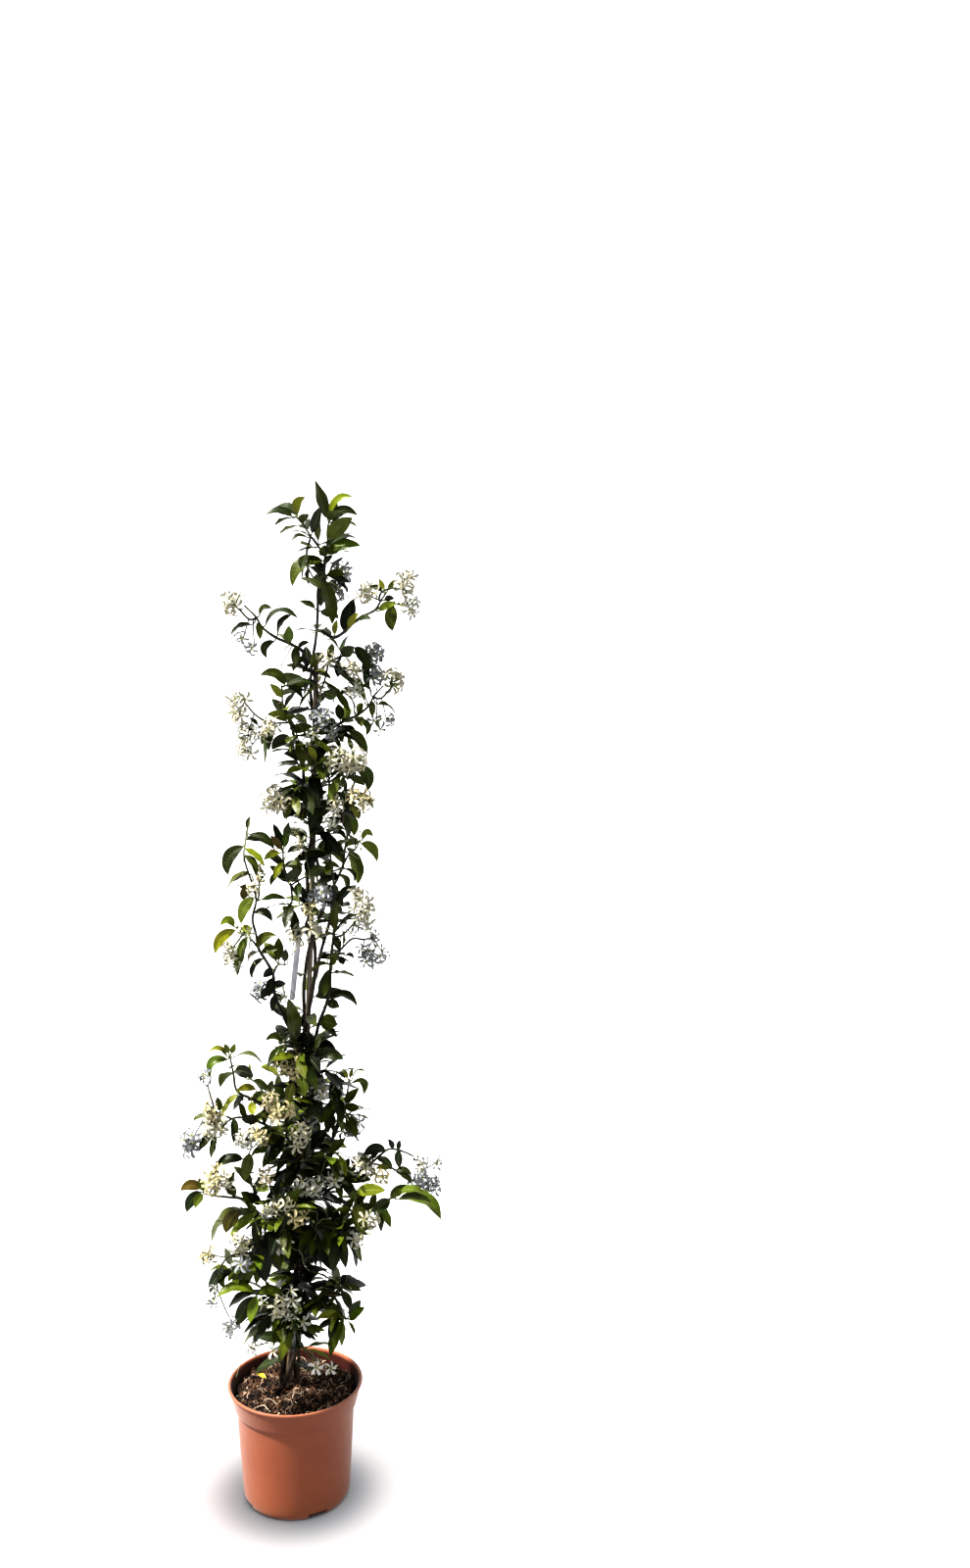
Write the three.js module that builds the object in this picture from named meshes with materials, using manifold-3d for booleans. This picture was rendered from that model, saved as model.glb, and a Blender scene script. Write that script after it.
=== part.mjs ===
// Star jasmine trained up a bamboo cane in a 17 cm nursery pot.
// Millimetres, +Z up. The origin is the centre of the pot's flat underside.
import * as THREE from "three";
import { mergeVertices } from "three/addons/utils/BufferGeometryUtils.js";
import Module from "manifold-3d";

const wasm = await Module();
wasm.setup();

// ---- Pot and soil ----
const POT_HEIGHT = 153;
const RIM_RADIUS = 86;
const BAND_FOOT_HEIGHT = 124; // where the rim band steps out from the body
const BAND_FOOT_RADIUS = 78;
const BODY_TOP_RADIUS = 75;
const BODY_FOOT_RADIUS = 69;
const FOOT_RADIUS = 63.2;
const FOOT_RING_INSIDE = 54;
const FLAT_CENTRE_RADIUS = 34;
const CHANNEL_HEIGHT = 4; // the drained ring of the floor stands clear of the ground
const WALL = 2;
const DRAIN_RADIUS = 4.5;
const DRAIN_CIRCLE = 45;
const DRAIN_COUNT = 6;
const NOTCH_WIDTH = 26;
const NOTCH_HEIGHT = 7.6;
const NOTCH_REACH = 20; // from just inside the foot ring outwards
const NOTCH_FIRST_ANGLE = -60;
const NOTCH_COUNT = 4;
const SOIL_TOP = 144;
const SOIL_MOUND = 4;
const ROUND_SEGMENTS = 28;

// ---- Clearances ----
const GAP = 0.3;
const START_GAP = 0.45; // between a carrier's skin and the end of a stem that springs from it
const GUARD = 0.4; // a new leaf or flower keeps this far from what has grown already

// ---- Cane and main stems ----
const CANE_BOTTOM = 42;
const CANE_TOP = 1074;
const CANE_RADIUS = 3.5;
const CANE_FOOT_X = -20;
const CANE_LEAN = 0.088;
const CANE_BOW = 0.00003;
const STEM_BOTTOM = 112;
const STEM_STEP = 24; // rise of one ring of a twining stem
const STEM_SLACK = 0.9; // how loosely a stem lies against the cane

// Each main stem twines once round the cane in `pitch` and stands at `angle` (degrees from +X
// towards +Y) at its upper end. `loose` lists [height, extra distance from the cane].
const MAIN_STEMS = [
  {
    name: "vine_stem_1", top: 1160, angle: 0, pitch: 232, foot: 3, tip: 1.5,
    loose: [[112, 4], [170, 3], [230, 0], [1077, 0], [1110, -3], [1160, -4]],
  },
  {
    name: "vine_stem_2", top: 905, angle: 180, pitch: 240, foot: 3, tip: 1.8,
    loose: [[112, 4], [170, 3], [230, 0], [690, 0], [740, 4], [785, 11], [830, 4], [905, 0]],
  },
  {
    name: "vine_stem_3", top: 604, angle: 10, pitch: 236, foot: 2.8, tip: 2,
    loose: [[112, 4], [170, 3], [230, 0], [604, 0]],
  },
];

// ---- Trim ----
const TIE_HEIGHTS = [566, 1008];
const TIE_WIDTH = 7;
const TIE_THICK = 0.8;
const TIE_SEGMENTS = 16;
const LABEL_WIDTH = 7;
const LABEL_THICK = 0.8;
const LABEL_LOOP_HEIGHT = 744;
const LABEL_LOOP_WIDTH = 5;
const LABEL_FOOT = [4, 655, 0];

// ---- Sprays, leaves and flowers ----
const SHOOT_RADIUS = 1.7;
const SPRAY_RADIUS = 1.1;
const TWIG_RADIUS = 1;
const TIP_RADIUS = 0.7;
const SHOOT_STEP = 24; // length of one straight piece of a shoot
const TWIG_STEP = 22;
const SHOOT_SIDES = 4;
const TWIG_SIDES = 3;
const STALK = 5;
const FOOT_REACH = 2.2; // how far from its stem's axis a leaf's narrow foot lies
const LEAF_SHARE = 0.42; // width of a full-grown blade to its length
const LEAF_THICK = 0.5; // half the thickness at the midrib
const LEAF_FOLD = 0.22;
const BASE_HALF = 0.9; // half the width of a blade where its stalk ends
const LEAST_LEAF = 22; // leaves shorter than this are too small for a body of their own
const LONG_LEAF = 46; // blades longer than this are widest over two stations
const FLOWER_RADIUS = 10.5;
const PETALS = 5;
const TUBE_RADIUS = 1.1;
const TUBE_SIDES = 3;
const TUBE_SHARE = 0.35; // the flower's tube opens this far out from its hub
const EYE_DEPTH = 1;
const HUB_REACH = 1.5; // a cluster's stalk runs this far past the point its flowers spring from
const DEPTH_STEPS = [0, -5, 5, -10, 10, -16, 16, -23, 23];
const INNER_ROOT = 46; // inner leaves spring this near the cane, and end within INNER_TIP of it
const INNER_TIP = 62;
const INNER_SHARE = [[620, 0.8], [820, 0.35], [980, 0.75], [1300, 0.35]]; // [below this height, share grown]
const STEM_LEAF_SHARE = [[620, 0.5], [820, 0.2], [1000, 0.4], [1300, 0]];
const INNER_TRIES = 5;
const LEAST_CLUSTER = 9; // smaller clusters are buds, too small for a body of their own
const FLOWER_TRIES = 8;
const STALK_DETOURS = [0, -7, 7, -14, 14, -22, 22];
const LABEL_CLEAR = [-16, 10, 650, 752]; // [least x, most x, least z, most z] kept open before the label

// The plan of the plant. A point is [x, z, y]: x and z are where it shows on the upright plane
// through the pot's axis, seen from LAYOUT_EYE, and y is how far behind that plane it lies.
const LAYOUT_EYE = new THREE.Vector3(244, -1800, 1162);

// A leaf is [base x, base z, tip x, tip z, tip y, width as seen, tone, arch]. Tones run from k,
// blue-black, through d, dark, and o, olive, to g, bright, with y a young narrow yellow-green
// blade, b an old brown-olive one and p a pale one. Arch is how far the middle of the blade
// stands above the line from base to tip.
const SHOOTS = [
  {
    "name": "leafy_shoot_01",
    "stem": [
      [48, 1160, 0], [51, 1178, -2], [53, 1200, -4], [56, 1216, -5], [56, 1232, -5], [58, 1242, -5]
    ],
    "twigs": [
      [[53, 1202, -4], [45, 1212, -10], [36, 1224, -14], [27, 1238, -12], [18, 1248, -10]],
      [[36, 1224, -14], [31, 1205, -16], [31, 1190, -16], [40, 1172, -12]]
    ],
    "leaves": [
      [58, 1243, 42, 1290, -8, 14, "o", 0],
      [60, 1246, 66, 1269, 14, 12, "d", 0],
      [60, 1248, 86, 1271, -26, 8, "y", 9],
      [59, 1243, 92, 1249, 6, 12, "d", 10],
      [57, 1222, 86, 1246, -28, 19, "o", 2],
      [55, 1203, 95, 1213, -16, 14, "o", 6],
      [58, 1212, 90, 1222, 24, 10, "d", 7],
      [53, 1193, 62, 1201, -20, 6, "d", 1],
      [52, 1176, 76, 1178, -14, 9, "o", 3],
      [50, 1195, 13, 1165, -12, 13, "o", 13],
      [50, 1177, 37, 1189, 16, 8, "d", 1],
      [50, 1172, 60, 1120, -20, 16, "o", 2],
      [36, 1224, 48, 1259, -24, 12, "k", 0],
      [34, 1225, 13, 1219, -22, 4, "d", 4],
      [19, 1249, 30, 1270, -20, 11, "y", 6],
      [18, 1247, -17, 1250, -12, 8, "d", 6],
      [19, 1249, -8, 1256, 8, 8, "d", 7]
    ]
  },
  {
    "name": "leafy_shoot_02",
    "stem": [
      [44, 1106, -4], [62, 1104, -16], [75, 1111, -20], [86, 1122, -22], [96, 1129, -24],
      [112, 1137, -26], [119, 1148, -27], [126, 1158, -28]
    ],
    "twigs": [
      [[112, 1137, -26], [125, 1143, -28], [136, 1147, -30]]
    ],
    "leaves": [
      [136, 1146, 133, 1112, -34, 15, "o", 3],
      [117, 1136, 138, 1144, -40, 9, "y", 3],
      [88, 1123, 107, 1126, -36, 6, "d", 3],
      [74, 1112, 86, 1150, 2, 17, "k", 0],
      [64, 1105, 66, 1125, -30, 7, "y", 1],
      [80, 1116, 92, 1133, -32, 8, "y", 2],
      [120, 1150, 135, 1150, -14, 7, "d", 2],
      [124, 1160, 105, 1164, -30, 6, "d", 3],
      [126, 1160, 117, 1174, -24, 6, "y", 0],
      [127, 1160, 136, 1173, -34, 6, "y", 0],
      [136, 1148, 145, 1140, -28, 6, "o", 2]
    ]
  },
  {
    "name": "leafy_shoot_03",
    "stem": [
      [37, 1068, -6], [25, 1086, -16], [12, 1095, -20], [-8, 1104, -24], [-25, 1117, -26],
      [-31, 1128, -26], [-45, 1142, -24]
    ],
    "twigs": [],
    "leaves": [
      [-30, 1129, -12, 1139, -34, 6, "d", 6],
      [-24, 1116, 19, 1127, -34, 6, "d", 13],
      [-7, 1106, 11, 1131, -30, 6, "d", 5],
      [-30, 1121, -27, 1102, -34, 8, "o", 1],
      [-38, 1119, -62, 1107, -20, 5, "d", 5],
      [-8, 1103, -19, 1079, -30, 9, "d", 8],
      [7, 1098, 8, 1118, -34, 12, "g", 0],
      [15, 1092, 14, 1069, -32, 11, "d", 1],
      [19, 1092, 32, 1098, -28, 6, "d", 2],
      [27, 1080, 12, 1063, -18, 8, "d", 3]
    ]
  },
  {
    "name": "leafy_shoot_04",
    "stem": [
      [36, 1052, -4], [38, 1058, -14], [55, 1074, -16], [68, 1080, -14], [85, 1086, -8], [97, 1080, -4]
    ],
    "twigs": [
      [[55, 1074, -10], [50, 1052, -20], [44, 1037, -22]]
    ],
    "leaves": [
      [56, 1078, 60, 1097, -22, 9, "o", 0],
      [68, 1081, 86, 1093, -26, 14, "d", 0],
      [87, 1092, 104, 1065, -16, 14, "d", 3],
      [98, 1078, 103, 1041, 2, 9, "d", 0],
      [43, 1036, 65, 1043, -28, 13, "d", -6],
      [70, 1079, 66, 1056, -22, 10, "k", 0]
    ]
  },
  {
    "name": "leafy_shoot_05",
    "stem": [
      [27, 898, -8], [23, 928, -16], [22, 950, -20], [17, 966, -24], [12, 985, -26], [7, 1001, -27],
      [0, 1017, -27], [-2, 1046, -26]
    ],
    "twigs": [
      [[22, 944, -19], [32, 942, -26], [40, 952, -30]],
      [[8, 998, -27], [-12, 1000, -32], [-30, 995, -34]]
    ],
    "leaves": [
      [2, 1047, -28, 1058, -32, 12, "o", 9],
      [-2, 1032, -16, 1048, -36, 9, "y", 1],
      [3, 1046, 36, 1048, -34, 7, "d", 5],
      [3, 1046, 23, 1030, -22, 7, "d", 4],
      [4, 1012, -14, 1030, -18, 11, "d", 0],
      [12, 1008, 28, 1000, -38, 9, "d", 3],
      [10, 990, 35, 994, -36, 12, "o", 3],
      [3, 1003, -20, 1011, -42, 11, "g", 4],
      [9, 984, -15, 968, -34, 14, "d", 4],
      [21, 955, -1, 963, -34, 12, "d", 4],
      [23, 922, -20, 933, -26, 6, "k", 10],
      [40, 953, 29, 973, -38, 9, "y", 1],
      [20, 944, 2, 939, -30, 8, "y", 3],
      [42, 952, 56, 956, -36, 7, "y", 2],
      [38, 955, 54, 968, -24, 6, "d", 2],
      [-29, 996, -42, 1007, -36, 5, "d", 1],
      [-30, 994, -50, 990, -40, 6, "o", 2]
    ]
  },
  {
    "name": "leafy_shoot_06",
    "stem": [[35, 866, -6], [45, 885, -16], [52, 905, -22], [54, 928, -26], [52, 944, -26]],
    "twigs": [
      [[52, 905, -22], [64, 897, -28], [73, 891, -30]],
      [[54, 928, -26], [66, 936, -30], [77, 935, -32]]
    ],
    "leaves": [
      [51, 934, 52, 953, -36, 12, "k", 0],
      [78, 935, 97, 924, -36, 10, "o", 3],
      [72, 914, 76, 894, -40, 12, "d", 0],
      [73, 890, 75, 862, -34, 8, "d", 2],
      [50, 893, 30, 868, -34, 16, "d", 5],
      [44, 884, 26, 897, -26, 12, "d", 3],
      [56, 935, 70, 946, -44, 6, "d", 1],
      [66, 896, 84, 880, -22, 6, "k", 4]
    ]
  },
  {
    "name": "leafy_shoot_07",
    "stem": [
      [27, 598, -4], [37, 625, -8], [46, 648, -10], [51, 668, -10], [52, 690, -10], [54, 715, -12],
      [57, 740, -14], [59, 775, -14], [57, 810, -12], [54, 840, -12], [52, 868, -10]
    ],
    "twigs": [
      [[57, 742, -14], [70, 756, -20], [83, 759, -22]],
      [[54, 711, -12], [62, 713, -16], [69, 715, -18]]
    ],
    "leaves": [
      [52, 870, 29, 864, -20, 13, "d", 4],
      [53, 868, 73, 857, -14, 6, "d", 6],
      [54, 856, 52, 838, -26, 11, "d", 1],
      [55, 850, 70, 840, -28, 9, "d", 4],
      [54, 842, 10, 829, -24, 14, "d", 5],
      [57, 806, 60, 817, 10, 10, "k", 0],
      [57, 808, 36, 803, 8, 10, "k", 2],
      [58, 780, 52, 802, -28, 10, "k", 0],
      [57, 738, 62, 781, -30, 12, "o", 0],
      [66, 754, 86, 763, -32, 6, "d", 2],
      [56, 736, 63, 718, -22, 10, "d", 1],
      [55, 700, 60, 717, -24, 8, "o", 0],
      [62, 712, 68, 700, -26, 9, "k", 1],
      [69, 715, 81, 708, -18, 5, "k", 3],
      [51, 694, 36, 657, -20, 14, "d", -2],
      [51, 680, 44, 660, -30, 9, "o", 1],
      [52, 660, 85, 647, -16, 10, "d", 8],
      [48, 652, 63, 646, -28, 12, "d", 1],
      [40, 628, 60, 623, -24, 20, "o", 1],
      [53, 694, 64, 690, -6, 5, "k", 1],
      [53, 700, 28, 690, -22, 5, "o", 5]
    ]
  },
  {
    "name": "leafy_shoot_08",
    "stem": [
      [10, 596, -8], [2, 614, -16], [-5, 630, -20], [-14, 652, -24], [-18, 666, -26], [-19, 688, -28],
      [-28, 706, -30], [-36, 720, -32], [-39, 738, -34], [-43, 758, -34], [-38, 782, -32],
      [-42, 800, -30], [-52, 836, -28], [-50, 853, -28], [-48, 868, -26]
    ],
    "twigs": [
      [[-37, 722, -32], [-46, 733, -36], [-56, 739, -38], [-62, 749, -40]],
      [[-19, 692, -28], [-12, 700, -34], [-3, 700, -36]]
    ],
    "leaves": [
      [-50, 853, -72, 813, -38, 15, "d", 9],
      [-48, 866, -15, 845, -34, 9, "d", 6],
      [-48, 858, -20, 849, -20, 9, "d", 5],
      [-50, 846, -27, 824, -40, 8, "y", 3],
      [-52, 838, -38, 813, -46, 9, "o", 5],
      [-49, 867, -43, 886, -30, 6, "d", 1],
      [-46, 815, -74, 794, -26, 7, "o", 6],
      [-41, 785, -57, 752, -46, 14, "g", 5],
      [-40, 766, -19, 755, -44, 10, "d", 6],
      [-62, 750, -83, 750, -46, 10, "y", 8],
      [-62, 748, -90, 714, -50, 13, "y", 7],
      [-60, 750, -47, 736, -48, 12, "y", 4],
      [-50, 735, -63, 686, -50, 12, "o", 3],
      [-37, 722, -14, 737, -46, 12, "o", 6],
      [-33, 716, -13, 719, -46, 9, "o", 2],
      [-31, 708, -45, 682, -44, 7, "d", 5],
      [-36, 718, -48, 700, -26, 4, "k", 5],
      [-41, 792, -58, 798, -38, 10, "b", 2],
      [-44, 803, -54, 782, -24, 12, "b", 3],
      [-18, 694, -31, 684, -36, 10, "k", 1],
      [-19, 688, -25, 659, -42, 13, "k", 0],
      [-18, 672, -35, 656, -34, 10, "k", 2],
      [-18, 676, -3, 676, -36, 9, "k", 0],
      [-17, 664, -21, 640, -36, 8, "k", 0],
      [-2, 701, -3, 720, -42, 9, "d", 0]
    ]
  },
  {
    "name": "leafy_shoot_09",
    "stem": [[14, 782, -6], [5, 800, -20], [-3, 822, -28], [-4, 844, -32]],
    "twigs": [
      [[6, 798, -20], [14, 806, -28], [26, 812, -30]],
      [[11, 788, -14], [6, 780, -22], [2, 776, -26]]
    ],
    "leaves": [
      [-4, 844, -19, 862, -42, 9, "b", 1],
      [-5, 846, -15, 877, -24, 9, "k", 0],
      [-3, 845, 4, 879, -38, 9, "d", 0],
      [-4, 844, -27, 832, -44, 9, "y", 3],
      [-4, 828, -16, 808, -40, 8, "y", 2],
      [-2, 820, -20, 800, -34, 7, "o", 3],
      [2, 806, 16, 821, -42, 14, "d", 0],
      [26, 812, 48, 822, -38, 12, "d", 2],
      [18, 808, 12, 836, -38, 12, "o", 0],
      [2, 776, -4, 768, -28, 7, "y", 1]
    ]
  },
  {
    "name": "leafy_shoot_10",
    "stem": [[20, 588, -8], [24, 590, -22], [32, 588, -30]],
    "twigs": [
      [[24, 590, -22], [12, 594, -26], [2, 600, -28], [-5, 602, -28]]
    ],
    "leaves": [
      [10, 596, -1, 657, -42, 16, "o", 0],
      [22, 592, 26, 614, -44, 16, "k", 0],
      [26, 589, 33, 570, -42, 15, "k", 0],
      [34, 586, 67, 579, -38, 15, "d", 3],
      [35, 589, 38, 613, -30, 8, "p", 0],
      [-7, 602, -30, 603, -34, 9, "o", 7],
      [-4, 602, -20, 614, -20, 4, "k", 2]
    ]
  },
  {
    "name": "leafy_shoot_11",
    "stem": [[30, 556, -4], [42, 564, -6], [52, 558, -8], [57, 548, -8], [60, 532, -8], [65, 518, -8]],
    "twigs": [
      [[60, 536, -8], [54, 524, -14], [48, 520, -16]]
    ],
    "leaves": [
      [66, 517, 86, 541, -14, 11, "o", 0],
      [66, 517, 86, 518, -20, 11, "o", -2],
      [47, 519, 40, 500, -24, 12, "k", 0],
      [56, 528, 50, 508, -28, 12, "d", 1],
      [42, 564, 34, 545, -18, 9, "k", 0]
    ]
  },
  {
    "name": "leafy_shoot_12",
    "stem": [
      [12, 496, -8], [-20, 514, -34], [-50, 528, -46], [-67, 538, -48], [-71, 560, -48],
      [-75, 584, -48]
    ],
    "twigs": [],
    "leaves": [
      [-75, 586, -101, 589, -54, 6, "y", 7],
      [-77, 584, -100, 555, -56, 10, "g", 11],
      [-75, 586, -81, 599, -50, 7, "y", 0],
      [-74, 586, -68, 599, -52, 7, "y", 0],
      [-74, 585, -34, 572, -54, 5, "o", 9],
      [-69, 564, -46, 556, -56, 15, "k", 3],
      [-26, 534, -22, 552, -48, 9, "o", 0],
      [-44, 540, -68, 537, -58, 9, "y", 4],
      [-66, 533, -86, 497, -60, 7, "y", 6],
      [-50, 527, -47, 506, -62, 11, "y", 0],
      [-30, 518, -33, 494, -52, 9, "o", 1],
      [-58, 532, -72, 512, -36, 8, "k", 2]
    ]
  },
  {
    "name": "leafy_shoot_13",
    "stem": [[8, 466, -8], [-15, 484, -42], [-42, 498, -58], [-70, 503, -64], [-95, 485, -62]],
    "twigs": [
      [[-10, 478, -34], [-6, 510, -50], [4, 546, -54]],
      [[-70, 503, -64], [-88, 508, -66], [-104, 508, -66]]
    ],
    "leaves": [
      [-104, 508, -123, 499, -68, 5, "o", 2],
      [-98, 482, -117, 459, -64, 10, "d", 2],
      [-96, 482, -102, 450, -74, 8, "d", 0],
      [-72, 502, -73, 470, -76, 10, "d", 2],
      [-42, 498, -62, 500, -74, 12, "k", 2],
      [-16, 486, -26, 462, -62, 22, "k", 0],
      [-20, 488, -44, 480, -46, 12, "d", 2],
      [4, 548, -2, 522, -64, 13, "o", 2],
      [-6, 512, 12, 500, -66, 11, "d", 2],
      [-5, 505, -28, 502, -66, 10, "o", 3],
      [2, 540, 18, 530, -62, 8, "o", 2],
      [-84, 506, -92, 530, -72, 9, "o", 0],
      [-56, 502, -66, 524, -72, 8, "o", 0]
    ]
  },
  {
    "name": "leafy_shoot_14",
    "stem": [[4, 374, -8], [-28, 388, -46], [-60, 396, -64], [-95, 400, -68], [-112, 403, -66]],
    "twigs": [
      [[-45, 392, -58], [-52, 420, -68], [-57, 452, -70]],
      [[-72, 398, -66], [-80, 406, -72], [-88, 416, -76]]
    ],
    "leaves": [
      [-60, 454, -98, 436, -72, 12, "d", 6],
      [-53, 456, -60, 420, -80, 15, "o", 0],
      [-115, 410, -141, 407, -70, 13, "b", 6],
      [-115, 405, -134, 379, -76, 14, "d", 4],
      [-113, 402, -123, 384, -86, 10, "g", 2],
      [-112, 404, -118, 424, -72, 8, "y", 0],
      [-88, 416, -72, 400, -82, 12, "o", 2],
      [-48, 400, -40, 426, -60, 8, "k", 0],
      [-40, 390, -58, 404, -76, 11, "k", 0],
      [-30, 388, -22, 410, -66, 12, "k", 0],
      [-20, 386, -10, 432, -44, 16, "k", 0]
    ]
  },
  {
    "name": "leafy_shoot_15",
    "stem": [[4, 346, -8], [-25, 362, -46], [-46, 376, -66], [-66, 385, -70]],
    "twigs": [
      [[-25, 362, -46], [-40, 335, -62], [-60, 310, -70], [-80, 304, -72]]
    ],
    "leaves": [
      [-68, 386, -85, 351, -76, 17, "b", 4],
      [-46, 377, -80, 347, -84, 11, "g", 2],
      [-66, 382, -104, 336, -66, 9, "o", 9],
      [-44, 372, -47, 334, -78, 13, "d", 0],
      [-26, 366, -4, 376, -64, 18, "d", 0],
      [-34, 350, -24, 322, -76, 16, "k", 0],
      [-42, 334, -36, 285, -78, 22, "k", 0],
      [-38, 338, -18, 300, -58, 16, "k", 3],
      [-80, 306, -87, 331, -78, 9, "p", 0],
      [-80, 304, -107, 299, -74, 5, "y", 4],
      [-78, 300, -107, 270, -66, 14, "k", 8],
      [-60, 310, -48, 300, -82, 9, "y", 0]
    ]
  },
  {
    "name": "leafy_shoot_16",
    "stem": [[-4, 254, -8], [-25, 266, -48], [-48, 270, -72]],
    "twigs": [
      [[-18, 262, -36], [-22, 246, -50], [-30, 234, -58]]
    ],
    "leaves": [
      [-51, 272, -98, 265, -84, 13, "g", 10],
      [-46, 271, -13, 258, -86, 13, "g", 9],
      [-50, 268, -74, 225, -80, 18, "d", 3],
      [-48, 266, -57, 230, -94, 13, "g", 1],
      [-22, 244, -53, 201, -54, 14, "d", 4],
      [-30, 234, -66, 200, -66, 9, "o", 4],
      [-30, 236, -47, 214, -76, 12, "d", 2],
      [-52, 270, -84, 250, -66, 9, "d", 4]
    ]
  },
  {
    "name": "leafy_shoot_17",
    "stem": [
      [12, 392, -6], [34, 402, -20], [60, 416, -28], [84, 430, -30], [100, 443, -30], [112, 454, -28],
      [123, 462, -26], [140, 459, -22], [155, 452, -20]
    ],
    "twigs": [
      [[34, 402, -20], [37, 430, -32], [46, 452, -36], [60, 458, -38]],
      [[106, 448, -29], [118, 440, -32], [129, 436, -32]],
      [[20, 396, -14], [16, 430, -24], [18, 462, -34]]
    ],
    "leaves": [
      [123, 463, 91, 452, -34, 13, "k", 6],
      [108, 450, 127, 437, -42, 9, "d", 3],
      [128, 463, 122, 475, -30, 7, "k", 1],
      [134, 461, 137, 474, -28, 6, "k", 0],
      [134, 460, 136, 437, -34, 10, "k", 0],
      [129, 437, 151, 428, -36, 8, "d", 3],
      [129, 435, 151, 416, -42, 8, "d", 3],
      [125, 436, 106, 436, -44, 8, "y", 3],
      [70, 421, 100, 421, -44, 13, "o", 3],
      [58, 414, 79, 405, -40, 13, "o", 2],
      [61, 457, 68, 425, -46, 8, "y", 2],
      [84, 430, 74, 449, -36, 5, "k", 0],
      [18, 462, 46, 488, -46, 16, "k", 0],
      [18, 464, 6, 492, -50, 12, "k", 0],
      [17, 450, 24, 478, -60, 12, "d", 0],
      [42, 446, 26, 452, -46, 12, "d", 2],
      [36, 424, 54, 434, -50, 11, "k", 2]
    ]
  },
  {
    "name": "leafy_shoot_18",
    "stem": [
      [12, 344, -6], [35, 354, -30], [60, 361, -44], [80, 366, -48], [100, 380, -52], [120, 395, -54],
      [131, 398, -54]
    ],
    "twigs": [
      [[30, 352, -26], [33, 362, -40], [34, 364, -46]],
      [[68, 363, -46], [76, 380, -54], [80, 396, -58]]
    ],
    "leaves": [
      [34, 360, 50, 300, -60, 27, "k", 0],
      [81, 404, 118, 407, -66, 15, "y", 3],
      [118, 400, 149, 413, -50, 12, "d", 3],
      [132, 398, 188, 369, -62, 15, "g", 15],
      [134, 402, 170, 400, -50, 9, "g", 8],
      [128, 398, 138, 409, -66, 8, "g", 0],
      [124, 394, 104, 374, -64, 15, "d", 3],
      [110, 384, 124, 358, -58, 10, "g", 2],
      [108, 382, 112, 352, -66, 9, "d", 1],
      [79, 394, 90, 350, -68, 20, "o", 0],
      [62, 362, 44, 390, -56, 14, "k", 0],
      [100, 380, 122, 378, -40, 8, "d", 2],
      [44, 356, 28, 384, -50, 15, "k", 0]
    ]
  },
  {
    "name": "leafy_shoot_19",
    "stem": [
      [4, 256, -6], [30, 265, -34], [50, 266, -44], [58, 251, -48], [63, 238, -48], [69, 235, -48]
    ],
    "twigs": [
      [[50, 266, -44], [58, 278, -40], [55, 292, -38]]
    ],
    "leaves": [
      [59, 280, 73, 244, -46, 11, "d", 2],
      [54, 294, 68, 284, -42, 13, "k", 2],
      [8, 262, 34, 284, -46, 13, "k", 0],
      [30, 268, 4, 280, -54, 12, "k", 2],
      [50, 264, 40, 252, -58, 12, "k", 1],
      [70, 236, 85, 261, -52, 12, "d", 0],
      [70, 235, 90, 251, -62, 10, "g", 0],
      [62, 236, 29, 236, -60, 11, "y", 5],
      [60, 236, 24, 216, -52, 7, "o", 3],
      [24, 262, 12, 240, -52, 10, "k", 1],
      [44, 268, 20, 256, -66, 9, "d", 0]
    ]
  },
  { "name": "leafy_shoot_20", "like": "leafy_shoot_03", "turn": 160, "rise": -96 },
  { "name": "leafy_shoot_21", "like": "leafy_shoot_08", "turn": 200, "rise": 88 },
  { "name": "leafy_shoot_22", "like": "leafy_shoot_12", "turn": 205, "rise": -74 },
  { "name": "leafy_shoot_23", "like": "leafy_shoot_18", "turn": 150, "rise": 96 },
  { "name": "leafy_shoot_24", "like": "leafy_shoot_16", "turn": 185, "rise": 44 }
];

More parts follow.
